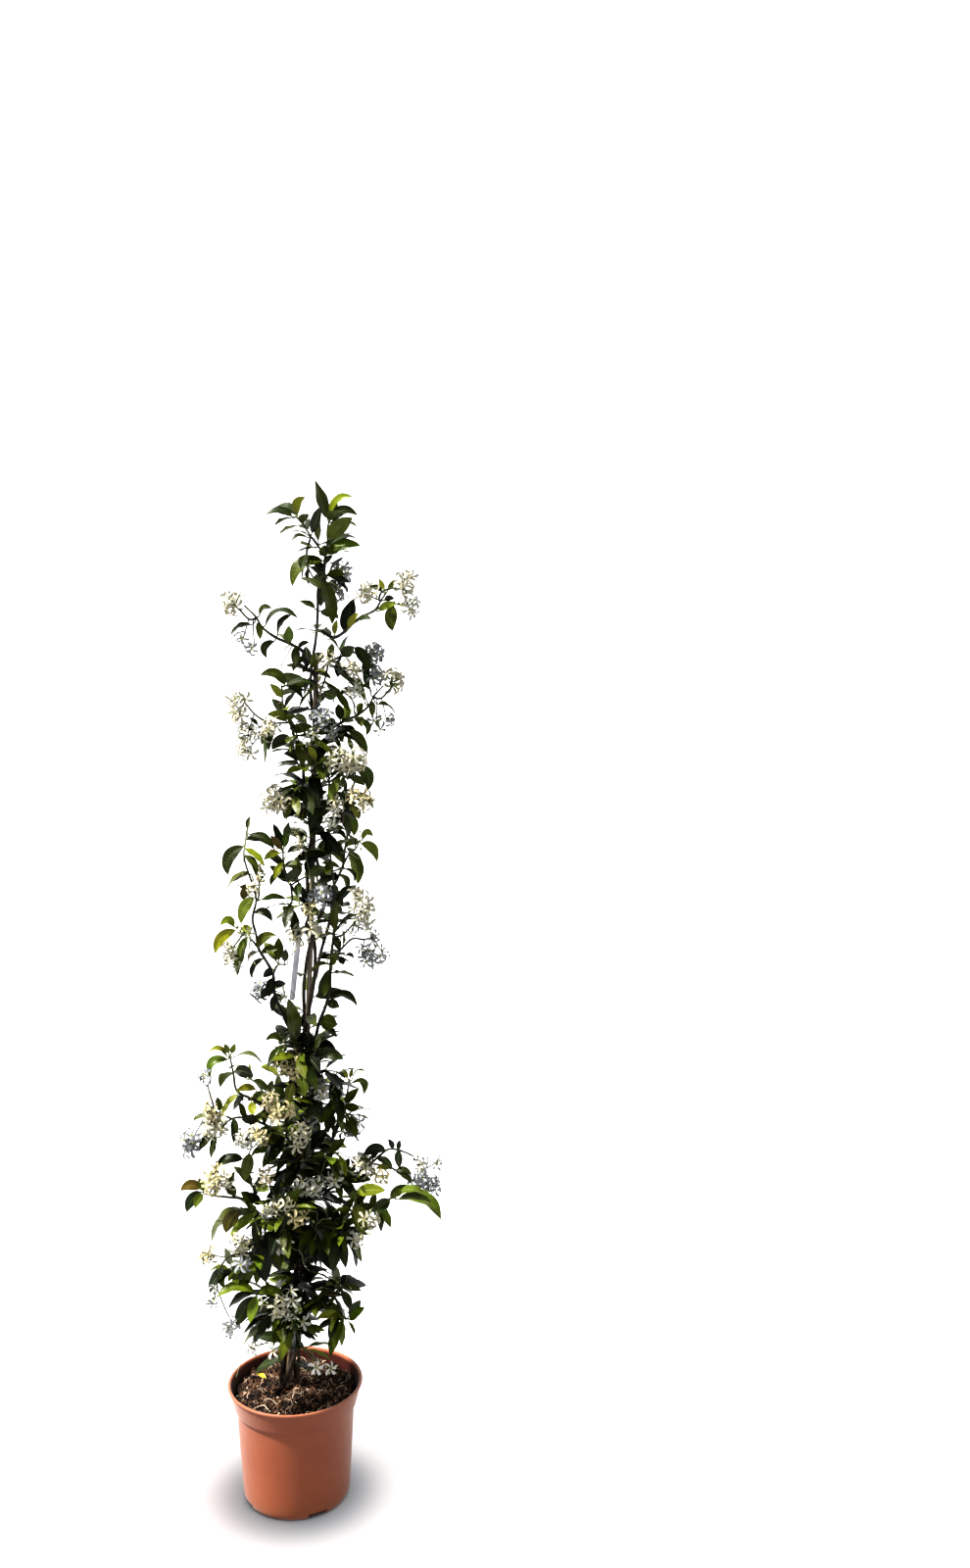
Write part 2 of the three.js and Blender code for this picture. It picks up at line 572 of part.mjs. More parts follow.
// A cluster is [x, z, y, radius] and hangs on the stem of its spray.
const SPRAYS = [
  {
    "name": "flower_spray_01", "on": "leafy_shoot_01",
    "stem": [[52, 1184, -2], [60, 1178, 12], [66, 1172, 18]],
    "clusters": [[73, 1184, 16, 13], [72, 1163, 16, 12]]
  },
  {
    "name": "flower_spray_02", "on": "leafy_shoot_02",
    "stem": [[119, 1148, -27], [120, 1158, -38], [134, 1163, -40], [150, 1160, -40]],
    "clusters": [[101, 1160, -40, 13], [152, 1172, -38, 12], [156, 1145, -40, 13]]
  },
  {
    "name": "flower_spray_03", "on": "leafy_shoot_03",
    "stem": [[-31, 1128, -26], [-40, 1126, -32], [-50, 1136, -32], [-58, 1144, -30]],
    "clusters": [[-62, 1148, -32, 14], [-39, 1096, -34, 8], [-52, 1103, -32, 6]]
  },
  {
    "name": "flower_spray_04", "on": "leafy_shoot_04",
    "stem": [[62, 1078, -11], [64, 1073, -25], [84, 1064, -26], [100, 1066, -4], [110, 1072, 6]],
    "clusters": [
      [112, 1085, 8, 14], [113, 1058, 8, 14], [84, 1067, -24, 11], [89, 1046, -22, 11],
      [54, 1082, -26, 8]
    ]
  },
  {
    "name": "flower_spray_05", "on": "leafy_shoot_05",
    "stem": [[-14, 999, -32], [-19, 1001, -44], [-36, 1012, -44], [-48, 1028, -44]],
    "clusters": [
      [-58, 1032, -42, 10], [-58, 1013, -42, 10], [-50, 988, -44, 12], [-50, 969, -44, 11],
      [-20, 992, -50, 12]
    ]
  },
  {
    "name": "flower_spray_06", "on": "leafy_shoot_06",
    "stem": [[53, 936, -26], [62, 948, -36], [70, 940, -38], [72, 918, -40], [64, 898, -42]],
    "clusters": [
      [69, 956, -44, 14], [87, 957, -42, 14], [93, 908, -44, 13], [60, 903, -46, 10], [60, 886, -46, 9]
    ]
  },
  {
    "name": "flower_spray_07", "on": "leafy_shoot_05",
    "stem": [[14, 980, -25], [26, 986, -38], [40, 997, -40]],
    "clusters": [[45, 1005, -34, 13], [57, 992, -30, 9], [34, 985, -38, 9]]
  },
  {
    "name": "flower_spray_08", "on": "leafy_shoot_05",
    "stem": [[24, 918, -13], [10, 914, -30], [-6, 910, -36]],
    "clusters": [[-19, 909, -38, 15], [-4, 900, -40, 9]]
  },
  {
    "name": "flower_spray_09", "on": "leafy_shoot_08",
    "stem": [[-39, 788, -31], [-34, 792, -40], [-34, 804, -42]],
    "clusters": [[-42, 797, -46, 9], [-31, 815, -42, 9]]
  },
  {
    "name": "flower_spray_10", "on": "leafy_shoot_08",
    "stem": [[-54, 738, -38], [-60, 732, -50], [-68, 722, -54]],
    "clusters": [[-73, 721, -56, 9], [-72, 706, -56, 9], [-56, 741, -56, 7]]
  },
  {
    "name": "flower_spray_11", "on": "leafy_shoot_08",
    "stem": [[-18, 668, -26], [-26, 666, -14], [-34, 666, -14]],
    "clusters": [[-41, 669, -16, 12], [-10, 662, -14, 7]]
  },
  {
    "name": "flower_spray_12", "on": "vine_stem_2",
    "stem": [[24, 728, -8], [23, 746, -26], [28, 772, -34], [32, 796, -38], [24, 836, -40]],
    "clusters": [
      [12, 738, -36, 12], [27, 742, -44, 9], [41, 787, -38, 14], [30, 768, -44, 9], [18, 857, -44, 9]
    ]
  },
  {
    "name": "flower_spray_13", "on": "leafy_shoot_07",
    "stem": [[57, 726, -13], [68, 738, -32], [86, 758, -36], [92, 768, -36]],
    "clusters": [[89, 784, -34, 13], [99, 768, -34, 12], [85, 750, -34, 7], [104, 752, -30, 7]]
  },
  {
    "name": "flower_spray_14", "on": "leafy_shoot_07",
    "stem": [
      [60, 712, -15], [68, 722, -8], [80, 733, -6], [95, 732, -6], [104, 734, -6], [112, 724, -6]
    ],
    "clusters": [[96, 716, -4, 8], [104, 707, -4, 9], [121, 717, -4, 7], [107, 737, -4, 7]]
  },
  {
    "name": "flower_spray_15", "on": "leafy_shoot_10",
    "stem": [[12, 594, -26], [10, 584, -42], [0, 574, -48]],
    "clusters": [[-10, 572, -52, 11], [6, 562, -54, 12], [8, 580, -44, 8]]
  },
  {
    "name": "flower_spray_16", "on": "vine_stem_3",
    "stem": [[24, 536, -4], [30, 536, -26], [38, 536, -34]],
    "clusters": [[38, 537, -38, 11], [54, 536, -34, 8], [24, 542, -36, 9], [27, 508, -44, 8]]
  },
  {
    "name": "flower_spray_17", "on": "leafy_shoot_11",
    "stem": [[63, 522, -8], [70, 508, -2], [78, 498, 0]],
    "clusters": [[83, 494, 0, 9], [77, 480, 0, 9]]
  },
  {
    "name": "flower_spray_18", "on": "leafy_shoot_13",
    "stem": [[-96, 508, -66], [-97, 516, -80], [-100, 530, -78], [-104, 546, -72]],
    "clusters": [
      [-101, 511, -84, 12], [-102, 490, -82, 13], [-88, 496, -88, 11], [-130, 476, -70, 11],
      [-129, 461, -66, 9], [-105, 556, -66, 9]
    ]
  },
  {
    "name": "flower_spray_19", "on": "leafy_shoot_13",
    "stem": [[-24, 488, -49], [-22, 480, -68], [-40, 474, -78], [-56, 474, -80]],
    "clusters": [
      [-60, 476, -86, 12], [-43, 479, -84, 11], [-26, 524, -76, 10], [-14, 508, -84, 12],
      [5, 480, -76, 14]
    ]
  },
  {
    "name": "flower_spray_20", "on": "leafy_shoot_14",
    "stem": [[-92, 400, -68], [-98, 406, -80], [-100, 414, -82]],
    "clusters": [[-104, 416, -88, 13], [-88, 424, -84, 11], [-98, 430, -78, 9]]
  },
  {
    "name": "flower_spray_21", "on": "leafy_shoot_15",
    "stem": [[-18, 358, -36], [-14, 362, -62], [-10, 378, -74], [-20, 396, -80]],
    "clusters": [
      [-12, 388, -86, 10], [-30, 382, -86, 10], [5, 372, -84, 10], [-35, 424, -82, 8],
      [-14, 336, -84, 9]
    ]
  },
  {
    "name": "flower_spray_22", "on": "leafy_shoot_15",
    "stem": [[-54, 317, -68], [-64, 324, -80], [-84, 318, -84], [-96, 296, -84], [-98, 274, -84]],
    "clusters": [
      [-70, 338, -88, 13], [-63, 308, -92, 9], [-110, 321, -84, 10], [-106, 263, -84, 9],
      [-84, 226, -80, 10]
    ]
  },
  {
    "name": "flower_spray_23", "on": "leafy_shoot_16",
    "stem": [[-12, 260, -26], [-10, 246, -60], [0, 224, -70], [10, 196, -72], [24, 182, -72]],
    "clusters": [
      [-26, 251, -92, 13], [-5, 262, -80, 9], [-4, 246, -86, 9], [0, 229, -84, 9], [-54, 194, -72, 9],
      [-30, 190, -78, 10], [24, 167, -68, 12], [45, 166, -62, 9]
    ]
  },
  {
    "name": "flower_spray_24", "on": "leafy_shoot_17",
    "stem": [[66, 419, -28], [72, 430, -40], [88, 440, -42], [104, 430, -44]],
    "clusters": [
      [94, 439, -48, 12], [114, 427, -48, 9], [55, 424, -54, 10], [28, 412, -66, 12], [8, 414, -66, 9]
    ]
  },
  {
    "name": "flower_spray_25", "on": "leafy_shoot_17",
    "stem": [[152, 453, -20], [162, 446, -22], [168, 434, -22]],
    "clusters": [[165, 424, -26, 13], [179, 412, -24, 12], [165, 442, -28, 9], [184, 443, -18, 6]]
  },
  {
    "name": "flower_spray_26", "on": "leafy_shoot_18",
    "stem": [[62, 361, -44], [66, 352, -56], [76, 350, -60], [90, 360, -62]],
    "clusters": [[79, 343, -64, 11], [92, 352, -74, 7], [100, 371, -72, 9]]
  },
  {
    "name": "flower_spray_27", "on": "leafy_shoot_20", "like": "flower_spray_03", "turn": 160, "rise": -96
  }
];

// ---- Looks ----
const finish = (color, roughness) => ({ color, roughness, metalness: 0 });
const FINISHES = {
  pot: finish(0xbb6a44, 0.55),
  soil: finish(0x3a2a20, 0.95),
  cane: finish(0x6d5a44, 0.7),
  vine: finish(0x35291f, 0.8),
  tie: finish(0x5c6478, 0.5),
  label: finish(0xd4d2dc, 0.45),
  leafy: finish(0x36541c, 0.4),
  flower: finish(0xf1ecd2, 0.6),
};

// ---- Solids ----
function makeSolid(positions, faces) {
  const vertProperties = new Float32Array(positions.flatMap((p) => [p.x, p.y, p.z]));
  const mesh = new wasm.Mesh({ numProp: 3, vertProperties, triVerts: new Uint32Array(faces) });
  return new wasm.Manifold(mesh);
}

function solidOf(geometry) {
  geometry.deleteAttribute("normal");
  geometry.deleteAttribute("uv");
  const merged = mergeVertices(geometry, 1e-3);
  const vertProperties = new Float32Array(merged.attributes.position.array);
  const triVerts = new Uint32Array(merged.index.array);
  return new wasm.Manifold(new wasm.Mesh({ numProp: 3, vertProperties, triVerts }));
}

function meshOf(name, solid, look) {
  const { vertProperties, triVerts } = solid.getMesh();
  const geometry = new THREE.BufferGeometry();
  geometry.setAttribute("position", new THREE.BufferAttribute(vertProperties, 3));
  geometry.setIndex(new THREE.BufferAttribute(triVerts, 1));
  geometry.computeVertexNormals();
  const mesh = new THREE.Mesh(geometry, new THREE.MeshStandardMaterial(look));
  mesh.name = name;
  return mesh;
}

// A closed skin over rings of points, which run anticlockwise seen from the far end. Two
// neighbouring rings may have different numbers of points.
function loft(start, rings, end) {
  const positions = [start, end, ...rings.flat()];
  const faces = [];
  let low = 2;
  rings[0].forEach((_, s) => faces.push(0, low + ((s + 1) % rings[0].length), low + s));
  for (let r = 1; r < rings.length; r++) {
    const lowSides = rings[r - 1].length;
    const highSides = rings[r].length;
    const high = low + lowSides;
    let i = 0;
    let j = 0;
    while (i < lowSides || j < highSides) {
      const a = low + (i % lowSides);
      const b = high + (j % highSides);
      if ((j + 1) / highSides <= (i + 1) / lowSides) faces.push(a, high + (++j % highSides), b);
      else faces.push(a, low + (++i % lowSides), b);
    }
    low = high;
  }
  const last = rings[rings.length - 1];
  last.forEach((_, s) => faces.push(1, low + s, low + ((s + 1) % last.length)));
  return makeSolid(positions, faces);
}

function tube(points, footRadius, tipRadius, sides) {
  const last = points.length - 1;
  let normal = new THREE.Vector3(0.83, 0.55, 0.1);
  const rings = points.map((point, i) => {
    const tangent = points[Math.min(i + 1, last)].clone().sub(points[Math.max(i - 1, 0)]).normalize();
    normal = normal.clone().addScaledVector(tangent, -normal.dot(tangent)).normalize();
    const across = tangent.clone().cross(normal);
    const radius = THREE.MathUtils.lerp(footRadius, tipRadius, i / last);
    return Array.from({ length: sides }, (_, s) => {
      const angle = (2 * Math.PI * s) / sides;
      const out = normal.clone().multiplyScalar(Math.cos(angle)).addScaledVector(across, Math.sin(angle));
      return point.clone().addScaledVector(out, radius);
    });
  });
  return loft(points[0], rings, points[last]);
}

// ---- Clearances between what has grown ----
const grown = [];

function grow(node, solid, open = null) {
  grown.push({ node, solid, open, box: solid.boundingBox() });
}

function boxesMeet(a, b) {
  return [0, 1, 2].every((k) => a.min[k] <= b.max[k] && b.min[k] <= a.max[k]);
}

function meets(solid, others) {
  const box = solid.boundingBox();
  return others.some((other) => boxesMeet(box, other.box) && solid.intersect(other.solid).volume() > 0);
}

const otherNodes = (node) => grown.filter((piece) => piece.node !== node);
const bladesOf = (node) =>
  grown
    .filter((piece) => piece.node === node && piece.open)
    .map(({ open }) => ({ solid: open, box: open.boundingBox() }));

// ---- Cane and twining stems ----
function caneCentre(z) {
  return new THREE.Vector3(CANE_FOOT_X + CANE_LEAN * z - CANE_BOW * z * z, 0, z);
}

function looseness(table, z) {
  const k = Math.max(1, table.findIndex(([height]) => height >= z));
  const [z0, extra0] = table[k - 1];
  const [z1, extra1] = table[k];
  const share = THREE.MathUtils.clamp((z - z0) / (z1 - z0), 0, 1);
  return extra0 + (extra1 - extra0) * share * share * (3 - 2 * share);
}

function vinePoints(stem) {
  const count = Math.round((stem.top - STEM_BOTTOM) / STEM_STEP);
  return Array.from({ length: count + 1 }, (_, i) => {
    const z = STEM_BOTTOM + ((stem.top - STEM_BOTTOM) * i) / count;
    const radius = THREE.MathUtils.lerp(stem.foot, stem.tip, i / count);
    const away = CANE_RADIUS + STEM_SLACK + radius + looseness(stem.loose, z);
    const angle = THREE.MathUtils.degToRad(stem.angle + (360 * (z - stem.top)) / stem.pitch);
    return caneCentre(z).add(new THREE.Vector3(Math.cos(angle) * away, Math.sin(angle) * away, 0));
  });
}

// The centre lines that shoots and sprays start from: name -> [{points, foot, tip}].
const lines = new Map();

// ---- Laying out a shoot or spray ----
function at([x, z, y], push = 0) {
  const onPlane = new THREE.Vector3(x, 0, z);
  const reach = 1 + (y + push) / -LAYOUT_EYE.y;
  return onPlane.sub(LAYOUT_EYE).multiplyScalar(reach).add(LAYOUT_EYE);
}

// A rear shoot repeats a front one, turned about the cane and raised.
function frameOf(spec, model) {
  const first = (spec.turnAbout ?? model.stem[0])[1];
  const from = caneCentre(first);
  const to = caneCentre(first + (spec.rise ?? 0));
  const turn = new THREE.Matrix4().makeRotationZ(THREE.MathUtils.degToRad(spec.turn ?? 0));
  const move = new THREE.Matrix4().makeTranslation(to);
  const back = new THREE.Matrix4().makeTranslation(from.clone().negate());
  const toWorld = move.multiply(turn).multiply(back);
  const fromWorld = toWorld.clone().invert();
  return {
    out: (point) => point.clone().applyMatrix4(toWorld),
    back: (point) => point.clone().applyMatrix4(fromWorld),
  };
}

function smooth(points, step) {
  let length = 0;
  points.slice(1).forEach((point, i) => (length += point.distanceTo(points[i])));
  const count = Math.max(points.length - 1, Math.round(length / step));
  return new THREE.CatmullRomCurve3(points, false, "centripetal").getPoints(count);
}

function nearest(samples, distance) {
  let best = 0;
  samples.forEach((sample, i) => {
    if (distance(sample) < distance(samples[best])) best = i;
  });
  return best;
}

// The point where a new stem leaves a carrier's skin, and one a little further out.
function leaveFrom(carriers, mark, towards) {
  let found = null;
  for (const line of carriers) {
    const last = line.points.length - 1;
    const k = nearest(line.points, (point) => point.distanceTo(mark));
    const point = line.points[k];
    const reach = point.distanceTo(mark) + 0.5 * point.distanceTo(towards);
    if (found && found.reach <= reach) continue;
    const ahead = line.points[Math.min(k + 1, last)];
    const tangent = ahead.clone().sub(line.points[Math.max(k - 1, 0)]).normalize();
    const radius = THREE.MathUtils.lerp(line.foot, line.tip, k / last);
    found = { reach, point, tangent, radius };
  }
  const away = towards.clone().sub(found.point);
  away.addScaledVector(found.tangent, -away.dot(found.tangent)).normalize();
  const start = found.point.clone().addScaledVector(away, found.radius + START_GAP);
  return [start, start.clone().addScaledVector(away, 4)];
}

// Pushes the inner points of a stem along the line of sight, more towards its end.
function stemPoints(model, frame, carriers, push) {
  const route = model.stem.map((row, i) => frame.out(at(row, (push * i) / (model.stem.length - 1))));
  return [...leaveFrom(carriers, route[0], route[1]), ...route.slice(1)];
}

function settleStem(spec, model, frame, carriers, radius, sides) {
  for (const push of DEPTH_STEPS) {
    const points = smooth(stemPoints(model, frame, carriers, push), SHOOT_STEP);
    const guard = tube(points, radius + GUARD / 2, TIP_RADIUS + GUARD / 2, sides);
    if (meets(guard, otherNodes(spec.name))) continue;
    grow(spec.name, tube(points, radius, TIP_RADIUS, sides));
    return { points, foot: radius, tip: TIP_RADIUS };
  }
  return null;
}

// The points of a stem from which others can spring: all of them well inside its ends.
function springPoints({ points }) {
  const last = points[points.length - 1];
  const before = points[points.length - 2];
  return [...points.slice(1, -1), last.clone().sub(before).setLength(-HUB_REACH).add(last)];
}

function settleTwig(spec, row, frame, own) {
  const mark = frame.out(at(row[0]));
  const samples = own.flatMap(springPoints);
  const root = samples[nearest(samples, (point) => point.distanceTo(mark))];
  for (const push of DEPTH_STEPS) {
    const rest = row.slice(1).map((point, i) => frame.out(at(point, (push * (i + 1)) / (row.length - 1))));
    const points = smooth([root, ...rest], TWIG_STEP);
    const guard = tube(points, TWIG_RADIUS + GUARD / 2, TIP_RADIUS + GUARD / 2, TWIG_SIDES);
    if (meets(guard, otherNodes(spec.name))) continue;
    grow(spec.name, tube(points, TWIG_RADIUS, TIP_RADIUS, TWIG_SIDES));
    return { points, foot: TWIG_RADIUS, tip: TIP_RADIUS };
  }
  return null;
}

// ---- Leaves ----
// A leaf's stalk root, blade base, middle control point and tip, and the blade's upper side.
function leafPlan(row, samples, push) {
  const [baseX, baseZ, tipX, tipZ, tipY, width, tone, arch] = row;
  const asSeen = (point) => {
    const reach = -LAYOUT_EYE.y / (point.y - LAYOUT_EYE.y);
    const seen = point.clone().sub(LAYOUT_EYE).multiplyScalar(reach).add(LAYOUT_EYE);
    return Math.hypot(seen.x - baseX, seen.z - baseZ);
  };
  const root = samples[nearest(samples, asSeen)];
  const tip = at([tipX, tipZ, tipY], push);
  let base = at([baseX, baseZ, root.y + 0.3 * (tip.y - root.y)]);
  if (base.distanceTo(root) < STALK) base = root.clone().add(tip.clone().sub(root).setLength(STALK));
  const chord = tip.clone().sub(base);
  const length = chord.length();
  const rise = new THREE.Vector3(-chord.z, 0, chord.x).normalize();
  if (rise.z < 0) rise.negate();
  const middle = base.clone().add(tip).multiplyScalar(0.5).addScaledVector(rise, 2 * arch);
  const view = LAYOUT_EYE.clone().sub(middle).normalize();
  const side = chord.clone().cross(view).normalize();
  const facing = side.clone().cross(chord).normalize();
  const fullWidth = Math.max(width, LEAF_SHARE * length * (tone === "y" ? 0.8 : 1));
  const turnCos = Math.min(1, width / fullWidth);
  const turnSin = Math.sqrt(1 - turnCos * turnCos) * (side.z < 0 ? -1 : 1);
  const upper = facing.multiplyScalar(turnCos).addScaledVector(side, turnSin);
  return { root, base, middle, tip, upper, half: fullWidth / 2, length };
}

function leafSolid(plan, frame, extra, bladeOnly) {
  const { root, base, middle, tip, upper, half, length } = plan;
  const curve = new THREE.QuadraticBezierCurve3(base, middle, tip);
  const stations = length > LONG_LEAF ? [[0.3, half], [0.7, 0.8 * half]] : [[0.45, half]];
  const foot = bladeOnly ? base : base.clone().sub(root).setLength(FOOT_REACH).add(root);
  const rings = [[0, BASE_HALF], ...stations].map(([share, halfWidth]) => {
    const point = share ? curve.getPoint(share) : foot;
    const tangent = share ? curve.getTangent(share) : curve.getPoint(0.2).sub(foot).normalize();
    const normal = upper.clone().addScaledVector(tangent, -upper.dot(tangent)).normalize();
    const right = tangent.clone().cross(normal);
    const reach = halfWidth + extra;
    const lift = LEAF_FOLD * halfWidth;
    const thick = LEAF_THICK + extra;
    const crest = halfWidth > BASE_HALF ? [point.clone().addScaledVector(normal, thick)] : [];
    return [
      point.clone().addScaledVector(right, -reach).addScaledVector(normal, lift),
      ...crest,
      point.clone().addScaledVector(right, reach).addScaledVector(normal, lift),
      point.clone().addScaledVector(normal, -thick),
    ].map(frame.out);
  });
  return loft(frame.out(bladeOnly ? base : root), rings, frame.out(tip));
}

function settleLeaf(spec, row, frame, samples) {
  for (const push of DEPTH_STEPS) {
    const plan = leafPlan(row, samples, push);
    if (plan.length < LEAST_LEAF) return;
    if (meets(leafSolid(plan, frame, GUARD, false), otherNodes(spec.name))) continue;
    if (meets(leafSolid(plan, frame, GUARD, true), bladesOf(spec.name))) continue;
    grow(spec.name, leafSolid(plan, frame, 0, false), leafSolid(plan, frame, 0, true));
    return;
  }
}

// ---- Flowers ----
const noise = (n) => {
  const value = Math.sin(n * 12.9898) * 43758.5453;
  return value - Math.floor(value);
};

// The direction in which a cluster opens: away from the cane, towards the front and a little up.
function clusterPlan([x, z, y, radius]) {
  const centre = at([x, z, y]);
  const outwards = centre.clone().sub(caneCentre(z)).setZ(0).normalize();
  const opening = new THREE.Vector3(0, -0.7, 0.35).addScaledVector(outwards, 0.8).normalize();
  const hub = centre.clone().addScaledVector(opening, -0.55 * radius - 3);
  return { centre, opening, hub, radius };
}

function flowerCount(radius) {
  return radius < 13 ? 1 : 2;
}

// Where the k-th flower of a cluster opens on try number `attempt`.
function flowerPlan(cluster, k, attempt) {
  const across = new THREE.Vector3(0, 0, 1).cross(cluster.opening).normalize();
  const over = cluster.opening.clone().cross(across);
  const spin = 2.4 * k + 1.3 * attempt + cluster.centre.x;
  const tilt = k + attempt === 0 ? 0.25 : 0.75 + 0.35 * noise(k + 7 * attempt + cluster.centre.z);
  const facing = cluster.opening
    .clone()
    .multiplyScalar(Math.cos(tilt))
    .addScaledVector(across, Math.sin(tilt) * Math.cos(spin))
    .addScaledVector(over, Math.sin(tilt) * Math.sin(spin));
  const reach = Math.max(9, cluster.radius + 3);
  return { facing, centre: cluster.hub.clone().addScaledVector(facing, reach), spin };
}

function flowerSolid(cluster, flower, frame, extra, bloomOnly = false) {
  const right = new THREE.Vector3(0, 0, 1).cross(flower.facing).normalize();
  const up = flower.facing.clone().cross(right);
  const ringAt = (share, radius, sides) =>
    Array.from({ length: sides }, (_, i) => {
      const angle = flower.spin + (2 * Math.PI * i) / sides;
      return cluster.hub
        .clone()
        .lerp(flower.centre, share)
        .addScaledVector(right, (radius + extra) * Math.cos(angle))
        .addScaledVector(up, (radius + extra) * Math.sin(angle));
    }).map(frame.out);
  const throat = ringAt(TUBE_SHARE, TUBE_RADIUS, TUBE_SIDES);
  const bloom = ringAt(1, FLOWER_RADIUS, PETALS);
  const eye = flower.centre.clone().addScaledVector(flower.facing, extra - EYE_DEPTH);
  const start = cluster.hub.clone().lerp(flower.centre, bloomOnly ? TUBE_SHARE : 0);
  return loft(frame.out(start), bloomOnly ? [bloom] : [throat, bloom], frame.out(eye));
}

function settleFlower(spec, cluster, k, frame) {
  for (let attempt = 0; attempt < FLOWER_TRIES; attempt++) {
    const flower = flowerPlan(cluster, k, attempt);
    if (meets(flowerSolid(cluster, flower, frame, GUARD), otherNodes(spec.name))) continue;
    const open = flowerSolid(cluster, flower, frame, 0, true);
    if (meets(open, bladesOf(spec.name))) continue;
    grow(spec.name, flowerSolid(cluster, flower, frame, 0), open);
    return;
  }
}

// The stalk from a spray's stem to a cluster's hub. A detour bows it towards the front.
function settleStalk(spec, stem, cluster, frame) {
  const hub = frame.out(cluster.hub);
  const samples = springPoints(stem);
  const root = samples[nearest(samples, (point) => point.distanceTo(hub))];
  for (const detour of STALK_DETOURS) {
    const points = [root];
    if (detour) points.push(root.clone().lerp(hub, 0.5).add(new THREE.Vector3(0, detour, 2)));
    const beyond = hub.clone().sub(points[points.length - 1]).setLength(HUB_REACH).add(hub);
    points.push(beyond);
    const guard = tube(points, TWIG_RADIUS + GUARD / 2, TWIG_RADIUS + GUARD / 2, TWIG_SIDES);
    if (meets(guard, otherNodes(spec.name))) continue;
    grow(spec.name, tube(points, TWIG_RADIUS, TWIG_RADIUS, TWIG_SIDES));
    return true;
  }
  return false;
}

// ---- Pot, soil, cane, ties and label ----
function lathe(profile) {
  const points = profile.map(([radius, z]) => new THREE.Vector2(radius, z));
  const geometry = new THREE.LatheGeometry(points, ROUND_SEGMENTS);
  geometry.rotateX(Math.PI / 2);
  return solidOf(geometry);
}

function innerRadius(z) {
  const share = (z - 18) / (BAND_FOOT_HEIGHT - 18);
  return THREE.MathUtils.lerp(BODY_FOOT_RADIUS, BODY_TOP_RADIUS, share) - WALL;
}

function potSolid() {
  const shell = lathe([
    [0, 0],
    [FLAT_CENTRE_RADIUS, 0],
    [FLAT_CENTRE_RADIUS + 2, CHANNEL_HEIGHT],
    [FOOT_RING_INSIDE - 2, CHANNEL_HEIGHT],
    [FOOT_RING_INSIDE, 0],
    [FOOT_RADIUS, 0],
    [FOOT_RADIUS + 3.6, 3],
    [FOOT_RADIUS + 5, 8],
    [BODY_FOOT_RADIUS, 18],
    [BODY_TOP_RADIUS, BAND_FOOT_HEIGHT - 1.5],
    [BAND_FOOT_RADIUS, BAND_FOOT_HEIGHT],
    [RIM_RADIUS - 1.6, POT_HEIGHT - 4],
    [RIM_RADIUS, POT_HEIGHT - 3],
    [RIM_RADIUS, POT_HEIGHT],
    [RIM_RADIUS - 3.4, POT_HEIGHT],
    [BAND_FOOT_RADIUS - WALL, BAND_FOOT_HEIGHT + 3],
    [innerRadius(BAND_FOOT_HEIGHT), BAND_FOOT_HEIGHT + 1],
    [innerRadius(18), 18],
    [FOOT_RADIUS, 7],
    [FLAT_CENTRE_RADIUS + 1, CHANNEL_HEIGHT + WALL],
    [FLAT_CENTRE_RADIUS - 2, WALL],
    [0, WALL],
  ]);
  let pot = shell;
  for (let i = 0; i < DRAIN_COUNT; i++) {
    const angle = (2 * Math.PI * (i + 0.5)) / DRAIN_COUNT;
    const hole = new THREE.CylinderGeometry(DRAIN_RADIUS, DRAIN_RADIUS, 20, 8);
    hole.rotateX(Math.PI / 2);
    hole.translate(DRAIN_CIRCLE * Math.cos(angle), DRAIN_CIRCLE * Math.sin(angle), CHANNEL_HEIGHT);
    pot = pot.subtract(solidOf(hole));
  }
  for (let i = 0; i < NOTCH_COUNT; i++) {
    const angle = THREE.MathUtils.degToRad(NOTCH_FIRST_ANGLE + (360 * i) / NOTCH_COUNT);
    const middle = FOOT_RING_INSIDE - 1.2 + NOTCH_REACH / 2;
    const notch = new THREE.BoxGeometry(NOTCH_REACH, NOTCH_WIDTH, 2 * NOTCH_HEIGHT);
    notch.rotateZ(angle);
    notch.translate(middle * Math.cos(angle), middle * Math.sin(angle), 0);
    pot = pot.subtract(solidOf(notch));
  }
  return pot;
}

function soilSolid(stems) {
  const clear = GAP + 0.15;
  let soil = lathe([
    [0, 8],
    [FOOT_RADIUS - 4, 9],
    [innerRadius(20) - clear, 20],
    [innerRadius(BAND_FOOT_HEIGHT) - clear, BAND_FOOT_HEIGHT + 1],
    [BAND_FOOT_RADIUS - WALL - clear - 0.6, BAND_FOOT_HEIGHT + 4],
    [BAND_FOOT_RADIUS - WALL + 2.2 - clear, SOIL_TOP - 8],
    [60, SOIL_TOP - 3],
    [30, SOIL_TOP],
    [0, SOIL_TOP + SOIL_MOUND],
  ]);
  const caneLine = [caneCentre(CANE_BOTTOM - GAP), caneCentre(SOIL_TOP + 40)];
  soil = soil.subtract(tube(caneLine, CANE_RADIUS + 0.5, CANE_RADIUS + 0.5, 8));
  for (const { points, foot } of stems) {
    const buried = points.slice(0, 4);
    const below = buried[0].clone().add(new THREE.Vector3(0, 0, -4 * GAP));
    soil = soil.subtract(tube([below, ...buried], foot + 0.5, foot + 0.5, 8));
  }
  return soil;
}

function caneSolid() {
  const count = 9;
  const points = Array.from({ length: count + 1 }, (_, i) =>
    caneCentre(THREE.MathUtils.lerp(CANE_BOTTOM, CANE_TOP, i / count))
  );
  return tube(points, CANE_RADIUS, CANE_RADIUS - 0.3, 8);
}

